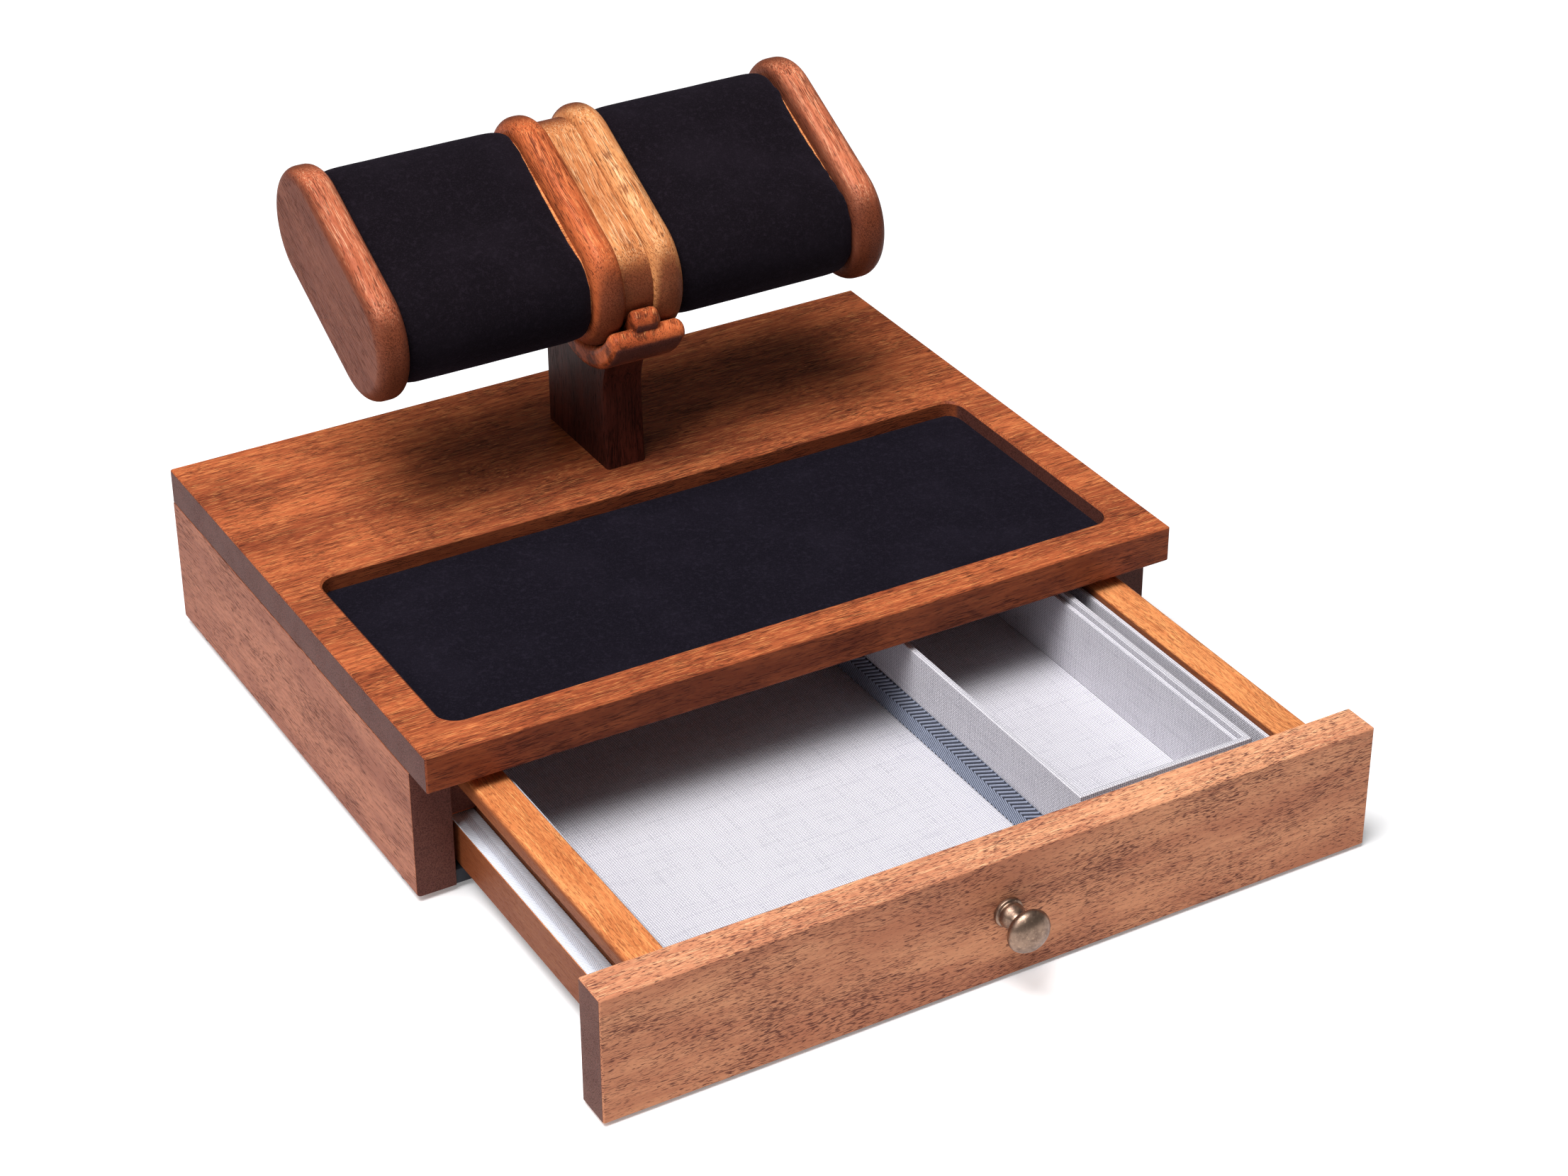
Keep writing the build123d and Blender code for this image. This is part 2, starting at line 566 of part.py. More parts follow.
def make_drawer_side_right():
    """Section with the runner groove outside and the bottom's rebate inside."""
    rebate_x = drawer_inner_x + DRAWER_REBATE_WIDTH
    groove_x = drawer_outer_x - GROOVE_DEPTH
    section = Plane(origin=(0, front_back_y, 0), x_dir=(1, 0, 0), z_dir=(0, -1, 0))
    with BuildPart() as board:
        with BuildSketch(section):
            with BuildLine():
                Polyline((rebate_x, drawer_low_z), (drawer_outer_x, drawer_low_z),
                         (drawer_outer_x, ledge_z), (groove_x, ledge_z),
                         (groove_x, groove_top_z), (drawer_outer_x, groove_top_z),
                         (drawer_outer_x, drawer_top_z), (drawer_inner_x, drawer_top_z),
                         (drawer_inner_x, bottom_top_z), (rebate_x, bottom_top_z),
                         (rebate_x, drawer_low_z))
            make_face()
        extrude(amount=front_back_y - drawer_rear_y)
        upper = board.edges().filter_by(Axis.Y).group_by(Axis.Z)[-1]
        fillet(upper.sort_by(Axis.X)[-1], DRAWER_TOP_ROUND)
        chamfer(board.edges().filter_by(Axis.Y).group_by(Axis.Z)[-1].sort_by(Axis.X)[0], EDGE_EASE)
        add(drawer_slots, mode=Mode.SUBTRACT)
    return board.part


def make_drawer_back():
    with BuildPart() as board:
        with BuildSketch(Plane.XY.offset(drawer_low_z)):
            with Locations((0, drawer_back_middle_y)):
                Rectangle(2 * drawer_inner_x, DRAWER_BACK_THICKNESS)
        extrude(amount=drawer_back_top_z - drawer_low_z)
        chamfer(board.faces().sort_by(Axis.Z)[-1].edges().filter_by(Axis.X), EDGE_EASE)
        # rebate for the drawer bottom
        with BuildSketch(Plane.XY.offset(drawer_low_z)):
            with Locations((0, drawer_back_y + DRAWER_REBATE_WIDTH / 2)):
                Rectangle(2 * drawer_inner_x, DRAWER_REBATE_WIDTH)
        extrude(amount=DRAWER_BOTTOM_THICKNESS, mode=Mode.SUBTRACT)
        add(drawer_slots, mode=Mode.SUBTRACT)
    return board.part


def make_drawer_bottom():
    front_y = front_back_y - DRAWER_FRONT_GROOVE
    rear_y = drawer_back_y + DRAWER_REBATE_WIDTH
    with BuildPart() as board:
        with BuildSketch(Plane.XY.offset(drawer_low_z)):
            with Locations((0, (front_y + rear_y) / 2)):
                Rectangle(2 * (drawer_inner_x + DRAWER_REBATE_WIDTH), rear_y - front_y)
        extrude(amount=DRAWER_BOTTOM_THICKNESS)
    return board.part


def make_glide_tape_right():
    inner_x = drawer_outer_x - GROOVE_DEPTH
    with BuildPart() as tape:
        with BuildSketch(Plane.XY.offset(ledge_z)):
            with Locations(((inner_x + drawer_outer_x) / 2, (front_back_y + drawer_rear_y) / 2)):
                Rectangle(GROOVE_DEPTH - 2 * TAPE_EDGE_MARGIN, drawer_rear_y - front_back_y)
        extrude(amount=TAPE_THICKNESS)
    return tape.part


def lining_board(low_x, high_x, low_y, high_y, low_z, high_z):
    """A linen-covered board with its upper edges softened by the cloth."""
    with BuildPart() as board:
        with BuildSketch(Plane.XY.offset(low_z)):
            with Locations(((low_x + high_x) / 2, (low_y + high_y) / 2)):
                Rectangle(high_x - low_x, high_y - low_y)
        extrude(amount=high_z - low_z)
        chamfer(board.faces().sort_by(Axis.Z)[-1].edges(), LINING_SOFT_EDGE)
    return board.part


def make_floor_lining():
    return lining_board(-drawer_inner_x, drawer_inner_x, front_back_y, drawer_back_y,
                        bottom_top_z, lining_floor_z)


def make_wall_lining_right():
    return lining_board(drawer_inner_x - LINING_THICKNESS, drawer_inner_x, front_back_y, drawer_back_y,
                        lining_floor_z, wall_lining_top_z)


def make_cross_lining(low_y):
    reach = drawer_inner_x - LINING_THICKNESS
    return lining_board(-reach, reach, low_y, low_y + LINING_THICKNESS, lining_floor_z, wall_lining_top_z)


# ---- Tray -------------------------------------------------------------------------
def make_tray_shell():
    with BuildPart() as shell:
        with BuildSketch(Plane.XY.offset(tray_low_z)):
            with Locations((tray_centre_x, tray_centre_y)):
                Rectangle(TRAY_WIDTH, tray_length)
        extrude(amount=TRAY_HEIGHT)
        with BuildSketch(Plane.XY.offset(tray_low_z + TRAY_WALL)):
            with Locations((tray_centre_x, tray_centre_y)):
                Rectangle(TRAY_WIDTH - 2 * TRAY_WALL, tray_length - 2 * TRAY_WALL)
        extrude(amount=TRAY_HEIGHT, mode=Mode.SUBTRACT)
        chamfer(shell.faces().sort_by(Axis.Z)[-1].edges(), LINING_SOFT_EDGE)
    return shell.part


def make_tray_wall_lining():
    low_z = tray_low_z + TRAY_WALL
    high_z = tray_top_z - TRAY_LINING_DROP
    with BuildPart() as frame:
        with BuildSketch(Plane.XY.offset(low_z)):
            with Locations((tray_centre_x, tray_centre_y)):
                Rectangle(TRAY_WIDTH - 2 * TRAY_WALL, tray_length - 2 * TRAY_WALL)
                inset = TRAY_WALL + TRAY_LINING_THICKNESS
                Rectangle(TRAY_WIDTH - 2 * inset, tray_length - 2 * inset, mode=Mode.SUBTRACT)
        extrude(amount=high_z - low_z)
        chamfer(frame.faces().sort_by(Axis.Z)[-1].edges(), LINING_SOFT_EDGE)
    return frame.part


def make_tray_floor_pad():
    inset = TRAY_WALL + TRAY_LINING_THICKNESS
    with BuildPart() as pad:
        with BuildSketch(Plane.XY.offset(tray_low_z + TRAY_WALL)):
            with Locations((tray_centre_x, tray_centre_y)):
                Rectangle(TRAY_WIDTH - 2 * inset, tray_length - 2 * inset)
        extrude(amount=TRAY_PAD_THICKNESS)
    return pad.part


def make_tray_tape(side):
    start_x = tray_centre_x + side * TRAY_WIDTH / 2
    with BuildPart() as tape:
        with BuildSketch(section_plane(start_x)):
            with Locations((tray_centre_y, tray_low_z + TRAY_TAPE_HEIGHT / 2)):
                Rectangle(tray_length, TRAY_TAPE_HEIGHT)
        extrude(amount=side * TRAY_TAPE_THICKNESS)
    return tape.part


# ---- Knob -------------------------------------------------------------------------
def knob_profile():
    """Radius and distance from the drawer front, from the rose out to the head's crown."""
    dome_rise = KNOB_NECK_START - KNOB_DOME_START
    dome_fall = KNOB_DOME_RADIUS - KNOB_NECK_RADIUS
    head_reach = KNOB_HEAD_RADIUS - KNOB_NECK_RADIUS
    head_rise = KNOB_WIDEST - KNOB_HEAD_START
    crown_rise = KNOB_PROJECTION - KNOB_WIDEST
    points = [(0, 0), (KNOB_ROSE_RADIUS, 0), (KNOB_ROSE_RADIUS, KNOB_ROSE_THICKNESS),
              (KNOB_DOME_RADIUS, KNOB_DOME_START)]
    for angle in (KNOB_FACET_TURN, 2 * KNOB_FACET_TURN):
        points.append((KNOB_NECK_RADIUS + dome_fall * cos(radians(angle)),
                       KNOB_DOME_START + dome_rise * sin(radians(angle))))
    for angle in (0, KNOB_FACET_TURN, 2 * KNOB_FACET_TURN):
        points.append((KNOB_NECK_RADIUS + head_reach * sin(radians(angle)),
                       KNOB_WIDEST - head_rise * cos(radians(angle))))
    points.append((KNOB_HEAD_RADIUS * cos(radians(KNOB_CROWN_ANGLE)),
                   KNOB_WIDEST + crown_rise * sin(radians(KNOB_CROWN_ANGLE))))
    return points + [(0, KNOB_PROJECTION)]


def make_knob():
    """Turned brass: a stepped rose, a domed neck and a mushroom head."""
    outline = [(radius, -reach) for radius, reach in knob_profile()]
    with BuildPart() as knob:
        with BuildSketch(Plane(origin=(0, front_face_y, knob_z), x_dir=(1, 0, 0), z_dir=(0, 0, 1))):
            with BuildLine():
                Polyline(*outline, close=True)
            make_face()
        revolve(axis=Axis((0, front_face_y, knob_z), (0, -1, 0)))
        with BuildSketch(Plane(origin=(0, front_face_y, knob_z), x_dir=(1, 0, 0), z_dir=(0, -1, 0))):
            Circle(KNOB_SCREW_DIAMETER / 2 + GLUE_GAP)
        extrude(amount=KNOB_BORE_DEPTH, mode=Mode.SUBTRACT)
    return knob.part


def make_knob_screw():
    inner = Plane(origin=(0, front_back_y, knob_z), x_dir=(1, 0, 0), z_dir=(0, -1, 0))
    with BuildPart() as screw:
        with BuildSketch(inner):
            Circle(KNOB_SCREW_HEAD_DIAMETER / 2)
        extrude(amount=KNOB_SCREW_HEAD_THICKNESS)
        with BuildSketch(inner):
            Circle(KNOB_SCREW_DIAMETER / 2)
        extrude(amount=DRAWER_FRONT_THICKNESS + KNOB_BORE_DEPTH - GLUE_GAP)
    return screw.part


# ---- Every piece under its node name ------------------------------------------------
case_slots = case_tenons(GLUE_GAP)
drawer_slots = drawer_tenons(GLUE_GAP)
side_panel_right = make_side_panel_right()
runner_right = make_runner_right()
drawer_side_right = make_drawer_side_right()
glide_tape_right = make_glide_tape_right()
wall_lining_right = make_wall_lining_right()
flange_right = oval_block(flange_inner_x, FLANGE_THICKNESS, FLANGE_RADIUS, FLANGE_BEVEL)
pillow_core_right = oval_block(pillow_inner_x, PILLOW_LENGTH, PILLOW_RADIUS - PADDING)
pillow_cover_right = make_pillow_cover_right()
end_cap_right = oval_block(cap_inner_x, CAP_THICKNESS, CAP_RADIUS, CAP_BEVEL)

pieces = {
    "top_board": make_top_board(),
    "recess_lining": make_recess_lining(),
    "side_panel_right": side_panel_right,
    "side_panel_left": mirrored(side_panel_right),
    "back_panel": make_back_panel(),
    "base_panel": make_base_panel(),
    "case_tenons": Compound(case_tenons()),
    "runner_right": runner_right,
    "runner_left": mirrored(runner_right),
    "feet": make_feet(),
    "post": make_post(),
    "post_screws": make_post_screws(),
    "cradle": make_cradle(),
    "cradle_tenon": cradle_tenon(),
    "drawer_front": make_drawer_front(),
    "drawer_side_right": drawer_side_right,
    "drawer_side_left": mirrored(drawer_side_right),
    "drawer_back": make_drawer_back(),
    "drawer_bottom": make_drawer_bottom(),
    "drawer_tenons": Compound(drawer_tenons()),
    "glide_tape_right": glide_tape_right,
    "glide_tape_left": mirrored(glide_tape_right),
    "floor_lining": make_floor_lining(),
    "wall_lining_right": wall_lining_right,
    "wall_lining_left": mirrored(wall_lining_right),
    "wall_lining_front": make_cross_lining(front_back_y),
    "wall_lining_back": make_cross_lining(drawer_back_y - LINING_THICKNESS),
    "knob": make_knob(),
    "knob_screw": make_knob_screw(),
    "tray_shell": make_tray_shell(),
    "tray_wall_lining": make_tray_wall_lining(),
    "tray_floor_pad": make_tray_floor_pad(),
    "tray_tape_left": make_tray_tape(-1),
    "tray_tape_right": make_tray_tape(1),
    "hub_core": oval_block(-HUB_WIDTH / 2, HUB_WIDTH, HUB_RADIUS),
    "flange_right": flange_right,
    "flange_left": mirrored(flange_right),
    "pillow_core_right": pillow_core_right,
    "pillow_core_left": mirrored(pillow_core_right),
    "pillow_cover_right": pillow_cover_right,
    "pillow_cover_left": mirrored(pillow_cover_right),
    "end_cap_right": end_cap_right,
    "end_cap_left": mirrored(end_cap_right),
}

os.makedirs("parts", exist_ok=True)
for label, piece in pieces.items():
    piece.label = label
    export_step(piece, f"parts/{label}.step")
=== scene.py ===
"""Looks of a wooden valet box with a drawer, a loose tray and a watch roll on a post."""

import logging
import math
from dataclasses import dataclass, field
from enum import Enum
from typing import Iterable, Optional, Sequence, Union

import bmesh
import bpy
from mathutils import Matrix, Vector, noise


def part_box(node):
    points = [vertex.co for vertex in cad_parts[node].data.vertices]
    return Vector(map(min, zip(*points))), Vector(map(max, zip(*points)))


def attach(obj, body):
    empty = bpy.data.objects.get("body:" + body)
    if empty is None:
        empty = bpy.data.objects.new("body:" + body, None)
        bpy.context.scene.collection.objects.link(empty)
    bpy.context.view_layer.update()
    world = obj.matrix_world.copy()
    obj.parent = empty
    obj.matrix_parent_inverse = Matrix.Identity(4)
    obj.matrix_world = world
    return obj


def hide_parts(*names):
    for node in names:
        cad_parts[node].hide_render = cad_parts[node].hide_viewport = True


LOG = logging.getLogger("valet_box")
MM = 0.001
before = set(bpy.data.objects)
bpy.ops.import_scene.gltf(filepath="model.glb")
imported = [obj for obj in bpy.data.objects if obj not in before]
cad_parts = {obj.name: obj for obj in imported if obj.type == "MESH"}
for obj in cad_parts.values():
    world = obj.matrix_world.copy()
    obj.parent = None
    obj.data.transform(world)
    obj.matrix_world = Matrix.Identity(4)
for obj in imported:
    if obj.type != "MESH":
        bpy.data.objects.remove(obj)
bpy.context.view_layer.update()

Colour = tuple[float, float, float]
Point = tuple[float, float, float]
Piece = bpy.types.Object
Material = bpy.types.Material
Node = bpy.types.Node
Socket = bpy.types.NodeSocket
Shape = bmesh.types.BMesh

ALONG_X: Point = (1.0, 0.0, 0.0)
ALONG_Y: Point = (0.0, 1.0, 0.0)
UPRIGHT: Point = (0.0, 0.0, 1.0)
SMOOTH_ROUND = 50.0


# ---- Shader maths ------------------------------------------------------------------
@dataclass(frozen=True)
class Wire:
    """One output socket, with the operators that shader maths needs."""

    graph: "Graph"
    socket: Socket

    def __add__(self, other: "Number") -> "Wire":
        """Sum."""
        return self.graph.maths("ADD", self, other)

    def __radd__(self, other: "Number") -> "Wire":
        """Sum, reflected."""
        return self.graph.maths("ADD", other, self)

    def __sub__(self, other: "Number") -> "Wire":
        """Difference."""
        return self.graph.maths("SUBTRACT", self, other)

    def __rsub__(self, other: "Number") -> "Wire":
        """Difference, reflected."""
        return self.graph.maths("SUBTRACT", other, self)

    def __mul__(self, other: "Number") -> "Wire":
        """Product."""
        return self.graph.maths("MULTIPLY", self, other)

    def __rmul__(self, other: "Number") -> "Wire":
        """Product, reflected."""
        return self.graph.maths("MULTIPLY", other, self)

    def __truediv__(self, other: "Number") -> "Wire":
        """Quotient."""
        return self.graph.maths("DIVIDE", self, other)

    def fraction(self) -> "Wire":
        """The part after the decimal point."""
        return self.graph.maths("FRACT", self)

    def floored(self) -> "Wire":
        """The whole number below."""
        return self.graph.maths("FLOOR", self)

    def sine(self) -> "Wire":
        """Sine of an angle in radians."""
        return self.graph.maths("SINE", self)

    def size(self) -> "Wire":
        """Absolute value."""
        return self.graph.maths("ABSOLUTE", self)

    def ramped(self, low: float, high: float) -> "Wire":
        """A smooth step.

        Args:
            low: value that gives 0.
            high: value that gives 1.

        Returns:
            The wire of the step.
        """
        made = self.graph.node(
            "ShaderNodeMapRange",
            {"interpolation_type": "SMOOTHSTEP"},
            {"Value": self, "From Min": low, "From Max": high},
        )
        return Wire(self.graph, made.outputs["Result"])


Number = Union[Wire, float]


class Graph:
    """A material's node tree, built through two methods."""

    def __init__(self, name: str) -> None:
        """Starts an empty material.

        Args:
            name: the material's name.
        """
        self.material = bpy.data.materials.new(name)
        self.material.use_nodes = True
        self.tree = self.material.node_tree
        self.tree.nodes.clear()
        self.output = self.node("ShaderNodeOutputMaterial")

    def node(
        self,
        kind: str,
        settings: Optional[dict] = None,
        inputs: Optional[dict] = None,
    ) -> Node:
        """Adds one node.

        Args:
            kind: the node's type.
            settings: its properties, set first; stops are a ramp's colours.
            inputs: values or wires of its sockets.

        Returns:
            The node.
        """
        made = self.tree.nodes.new(kind)
        for key, value in (settings or {}).items():
            setattr(made, key, value)
        for key, value in (inputs or {}).items():
            target = made.inputs[key]
            if isinstance(value, Wire):
                self.tree.links.new(value.socket, target)
            else:
                target.default_value = value
        return made

    def maths(self, operation: str, *values: Number) -> Wire:
        """A Math node.

        Args:
            operation: what it does.
            values: its one or two inputs.

        Returns:
            The wire of its result.
        """
        made = self.node("ShaderNodeMath", {"operation": operation}, dict(enumerate(values)))
        return Wire(self, made.outputs[0])

    def coordinates(self) -> Wire:
        """The piece's own coordinates, in metres."""
        return Wire(self, self.node("ShaderNodeTexCoord").outputs["Object"])

    def along(self, place: Wire, axis: Point) -> Wire:
        """How far a place lies along an axis.

        Args:
            place: the coordinates.
            axis: the direction.

        Returns:
            The wire of the distance.
        """
        made = self.node("ShaderNodeVectorMath", {"operation": "DOT_PRODUCT"}, {0: place, 1: axis})
        return Wire(self, made.outputs["Value"])

    def vector(self, x: Number, y: Number, z: Number) -> Wire:
        """Three numbers as a vector."""
        made = self.node("ShaderNodeCombineXYZ", None, {0: x, 1: y, 2: z})
        return Wire(self, made.outputs[0])

    def noise(self, place: Wire, scale: float, detail: float = 2.0, rough: float = 0.5) -> Wire:
        """Soft random values.

        Args:
            place: coordinates.
            scale: blobs to the metre.
            detail: octaves.
            rough: how strong the fine ones are.

        Returns:
            The wire of a value round 0.5.
        """
        made = self.node(
            "ShaderNodeTexNoise",
            {"noise_dimensions": "3D"},
            {"Vector": place, "Scale": scale, "Detail": detail, "Roughness": rough},
        )
        return Wire(self, made.outputs[0])

    def mix(self, share: Number, first: Union[Wire, Colour], second: Union[Wire, Colour]) -> Wire:
        """A colour between two.

        Args:
            share: 0 gives the first and 1 the second.
            first: a colour or a wire.
            second: a colour or a wire.

        Returns:
            The wire of the colour.
        """
        made = self.node("ShaderNodeMix", {"data_type": "RGBA"})
        for name, value in (("Factor", share), ("A", first), ("B", second)):
            wanted = "VALUE" if name == "Factor" else "RGBA"
            target = next(s for s in made.inputs if s.name == name and s.type == wanted)
            if isinstance(value, Wire):
                self.tree.links.new(value.socket, target)
            else:
                target.default_value = value if name == "Factor" else (*value, 1.0)
        return Wire(self, next(s for s in made.outputs if s.type == "RGBA"))

    def bump(self, height: Wire, depth: float, strength: float = 1.0) -> Wire:
        """A normal from a height.

        Args:
            height: the relief, about 0 to 1.
            depth: metres from 0 to 1.
            strength: share of the effect.

        Returns:
            The wire of the normal.
        """
        made = self.node(
            "ShaderNodeBump", None, {"Strength": strength, "Distance": depth, "Height": height}
        )
        return Wire(self, made.outputs[0])

    def surface(self, **inputs: Union[Number, Colour]) -> Material:
        """Ends the graph in a Principled shader.

        Args:
            inputs: its sockets, with _ for a space.

        Returns:
            The finished material.
        """
        named = {key.replace("_", " "): value for key, value in inputs.items()}
        shader = self.node("ShaderNodeBsdfPrincipled", None, named)
        self.tree.links.new(shader.outputs[0], self.output.inputs[0])
        return self.material


# ---- Finishes ------------------------------------------------------------------------
class WoodTone(Enum):
    """Light, middle and pore colours of the boards, and the colour of their painted glints."""

    TOP = ((0.50, 0.124, 0.044), (0.27, 0.060, 0.024), (0.042, 0.011, 0.008), (0.90, 0.38, 0.13))
    FRONT = ((0.78, 0.350, 0.185), (0.57, 0.220, 0.118), (0.115, 0.038, 0.032), (1.0, 0.68, 0.38))
    SIDE = ((0.45, 0.165, 0.092), (0.31, 0.100, 0.056), (0.085, 0.028, 0.020), (0.58, 0.27, 0.15))
    DRAWER = ((0.80, 0.300, 0.108), (0.58, 0.180, 0.058), (0.15, 0.036, 0.014), (1.0, 0.50, 0.18))
    CAP = ((0.62, 0.185, 0.090), (0.42, 0.105, 0.048), (0.070, 0.018, 0.011), (1.0, 0.58, 0.34))
    RED = ((0.58, 0.135, 0.044), (0.38, 0.074, 0.024), (0.070, 0.016, 0.008), (1.0, 0.42, 0.16))
    GOLD = ((0.80, 0.345, 0.130), (0.52, 0.170, 0.056), (0.12, 0.030, 0.011), (1.0, 0.76, 0.46))
    # The post's colour: its darker wood, also darkened as painted shade for the shade under the
    # roll.
    DARK = ((0.1, 0.023, 0.015), (0.046, 0.011, 0.008), (0.012, 0.004, 0.003), (0.20, 0.06, 0.035))


@dataclass(frozen=True)
class WoodFinish:
    """Oiled open-pored hardwood, with the grain along one axis."""

    name: str
    tone: WoodTone
    grain: Point = ALONG_X
    shift: float = 0.0
    pores: float = 1.0
    mottle: float = 0.0
    # Share of painted shade on faces that do not look up.
    painted_flank_shade: float = 0.0
    end_start: float = 0.80
    end_full: float = 0.95
    end_shade: Colour = (0.125, 0.046, 0.038)
    dash_length: float = 0.055
    # Strength of the painted glints.
    painted_glint_strength: float = 0.85

    def build(self) -> Material:
        """Makes the material."""
        light, middle, dark, painted_glint = self.tone.value
        graph = Graph(self.name)
        here = graph.coordinates()
        grain = Vector(self.grain).normalized()
        side = grain.orthogonal().normalized()
        third = grain.cross(side)
        length = graph.along(here, tuple(grain)) + self.shift
        across = graph.along(here, tuple(side)) + self.shift * 0.7
        depth = graph.along(here, tuple(third))

        def figured(stretch: float, scale: float, detail: float, rough: float = 0.5) -> Wire:
            """Noise drawn out along the grain."""
            drawn = graph.vector(length * stretch, across, depth)
            return graph.noise(drawn, scale, detail, rough)

        drift = figured(0.35, 40.0, 2.0)
        across = across + (drift - 0.5) * 0.007
        depth = depth + (drift - 0.5) * 0.005
        ribbon = figured(0.13, 55.0, 2.0, 0.5)
        figure = figured(0.30, 140.0, 3.0, 0.6)
        streak = figured(0.05, 900.0, 4.0, 0.62)
        fibre = figured(0.06, 2600.0, 2.0, 0.6)
        crowd = figured(0.40, 95.0, 3.0, 0.6)
        dash = figured(self.dash_length, 3600.0, 1.0, 0.4)
        fleck = figured(0.09, 5600.0, 1.0, 0.4)
        pore = (dash + (crowd - 0.5) * 0.42).ramped(0.56, 0.66) * self.pores
        tick = (fleck + (crowd - 0.5) * 0.30).ramped(0.58, 0.68)
        hue = graph.mix((ribbon * 0.6 + figure * 0.4).ramped(0.40, 0.62), light, middle)
        if self.mottle > 0.0:
            cloud = figured(0.8, 260.0, 3.0, 0.6)
            hue = graph.mix(cloud.ramped(0.44, 0.60) * self.mottle, hue, dark)
        hue = graph.mix(streak.ramped(0.46, 0.66) * 0.70, hue, middle)
        facing = Wire(graph, graph.node("ShaderNodeTexCoord").outputs["Normal"])
        upward = graph.along(facing, UPRIGHT).ramped(0.35, 0.95)
        # Painted shade: faces that do not look up are darkened towards the pore colour.
        hue = graph.mix((1.0 - upward) * self.painted_flank_shade, hue, dark)
        # Painted highlight: glint streaks along the grain, strongest on faces that look up.
        shine = figured(0.035, 4200.0, 1.0, 0.5)
        painted_gleam = shine.ramped(0.50, 0.70) * (1.0 - streak.ramped(0.44, 0.62))
        painted_gleam = painted_gleam * (upward * 0.60 + 0.06) * self.painted_glint_strength
        hue = graph.mix(painted_gleam, hue, painted_glint)
        hue = graph.mix(tick * 0.55, hue, dark)
        hue = graph.mix(pore * 0.72, hue, dark)
        end = graph.along(facing, tuple(grain)).size().ramped(self.end_start, self.end_full)
        ring = figured(0.4, 2600.0, 3.0, 0.65)
        end_dark = tuple(c * 0.45 for c in self.end_shade)
        end_hue = graph.mix(ring.ramped(0.42, 0.62), self.end_shade, end_dark)
        hue = graph.mix(end * 0.92, hue, end_hue)
        relief = fibre * 0.30 + streak * 0.35 - pore * 0.9 - tick * 0.3
        return graph.surface(
            Base_Color=hue,
            Roughness=fibre * 0.14 + pore * 0.20 + 0.36,
            Normal=graph.bump(relief, 0.00012, 0.55),
            Coat_Weight=0.02,
            Coat_Roughness=0.22,
            Specular_IOR_Level=0.06,
        )


@dataclass(frozen=True)
class SuedeFinish:
    """Near-black suede with a short nap brushed in patches."""

    name: str
    base: Colour = (0.0046, 0.0036, 0.0068)
    brushed: Colour = (0.0170, 0.0135, 0.0225)

    def build(self) -> Material:
        """Makes the material."""
        graph = Graph(self.name)
        here = graph.coordinates()
        patch = graph.noise(here, 42.0, 4.0, 0.62)
        fuzz = graph.noise(here, 2300.0, 3.0, 0.75)
        tuft = graph.noise(here, 640.0, 3.0, 0.65)
        hue = graph.mix(patch.ramped(0.44, 0.74) * 0.25, self.base, self.brushed)
        hue = graph.mix(tuft.ramped(0.50, 0.72) * 0.45, hue, self.brushed)
        hue = graph.mix(fuzz.ramped(0.50, 0.72) * 0.80, hue, self.brushed)
        return graph.surface(
            Base_Color=hue,
            Roughness=fuzz * 0.08 + 0.90,
            Normal=graph.bump(fuzz * 0.7 + tuft * 0.7, 0.00035, 0.8),
            Sheen_Weight=0.10,
            Sheen_Roughness=0.45,
            Sheen_Tint=(0.30, 0.25, 0.38, 1.0),
            Specular_IOR_Level=0.06,
        )


@dataclass(frozen=True)
class LinenFinish:
    """Plain-woven linen whose threads follow each face it covers."""

    name: str
    pitch: float = 0.00068
    light: Colour = (0.84, 0.815, 0.865)
    shade: Colour = (0.215, 0.210, 0.265)

    def build(self) -> Material:
        """Makes the material."""
        graph = Graph(self.name)
        here = graph.coordinates()
        facing = Wire(graph, graph.node("ShaderNodeTexCoord").outputs["Normal"])
        x, y, z = (graph.along(here, axis) for axis in (ALONG_X, ALONG_Y, UPRIGHT))
        side_wall = graph.maths("GREATER_THAN", graph.along(facing, ALONG_X).size(), 0.7)
        level = graph.maths("GREATER_THAN", graph.along(facing, UPRIGHT).size(), 0.7)
        wobble = (graph.noise(here, 260.0, 1.0) - 0.5) * 0.5
        u = (x * (1.0 - side_wall) + y * side_wall) / self.pitch + wobble
        v = (z * (1.0 - level) + y * level) / self.pitch + wobble
        over = ((u.floored() + v.floored()) * 0.5).fraction() * 2.0
        hump_u = (u.fraction() * math.pi).sine()
        hump_v = (v.fraction() * math.pi).sine()
        warp_top = hump_u * (hump_v * 0.4 + 0.6)
        weft_top = hump_v * (hump_u * 0.4 + 0.6)
        height = over * warp_top + (1.0 - over) * weft_top
        slub_u = graph.noise(graph.vector(u.floored() * 0.37, v * 0.02, 0.0), 2.3, 2.0)
        slub_v = graph.noise(graph.vector(v.floored() * 0.41, u * 0.02, 5.0), 2.3, 2.0)
        slub = over * slub_u + (1.0 - over) * slub_v
        # Painted shade: the low parts of the weave, between the threads, take the shade colour;
        # the slubs below are real thread colour.
        hue = graph.mix(height.ramped(0.16, 0.62), self.shade, self.light)
        hue = graph.mix(slub.ramped(0.48, 0.78) * 0.30, hue, self.shade)
        hue = graph.mix(over * 0.10, hue, self.shade)
        return graph.surface(
            Base_Color=hue,
            Roughness=height * -0.06 + 0.94,
            Normal=graph.bump(height + slub * 0.4, 0.00016, 0.8),
            Sheen_Weight=0.10,
            Specular_IOR_Level=0.18,
        )


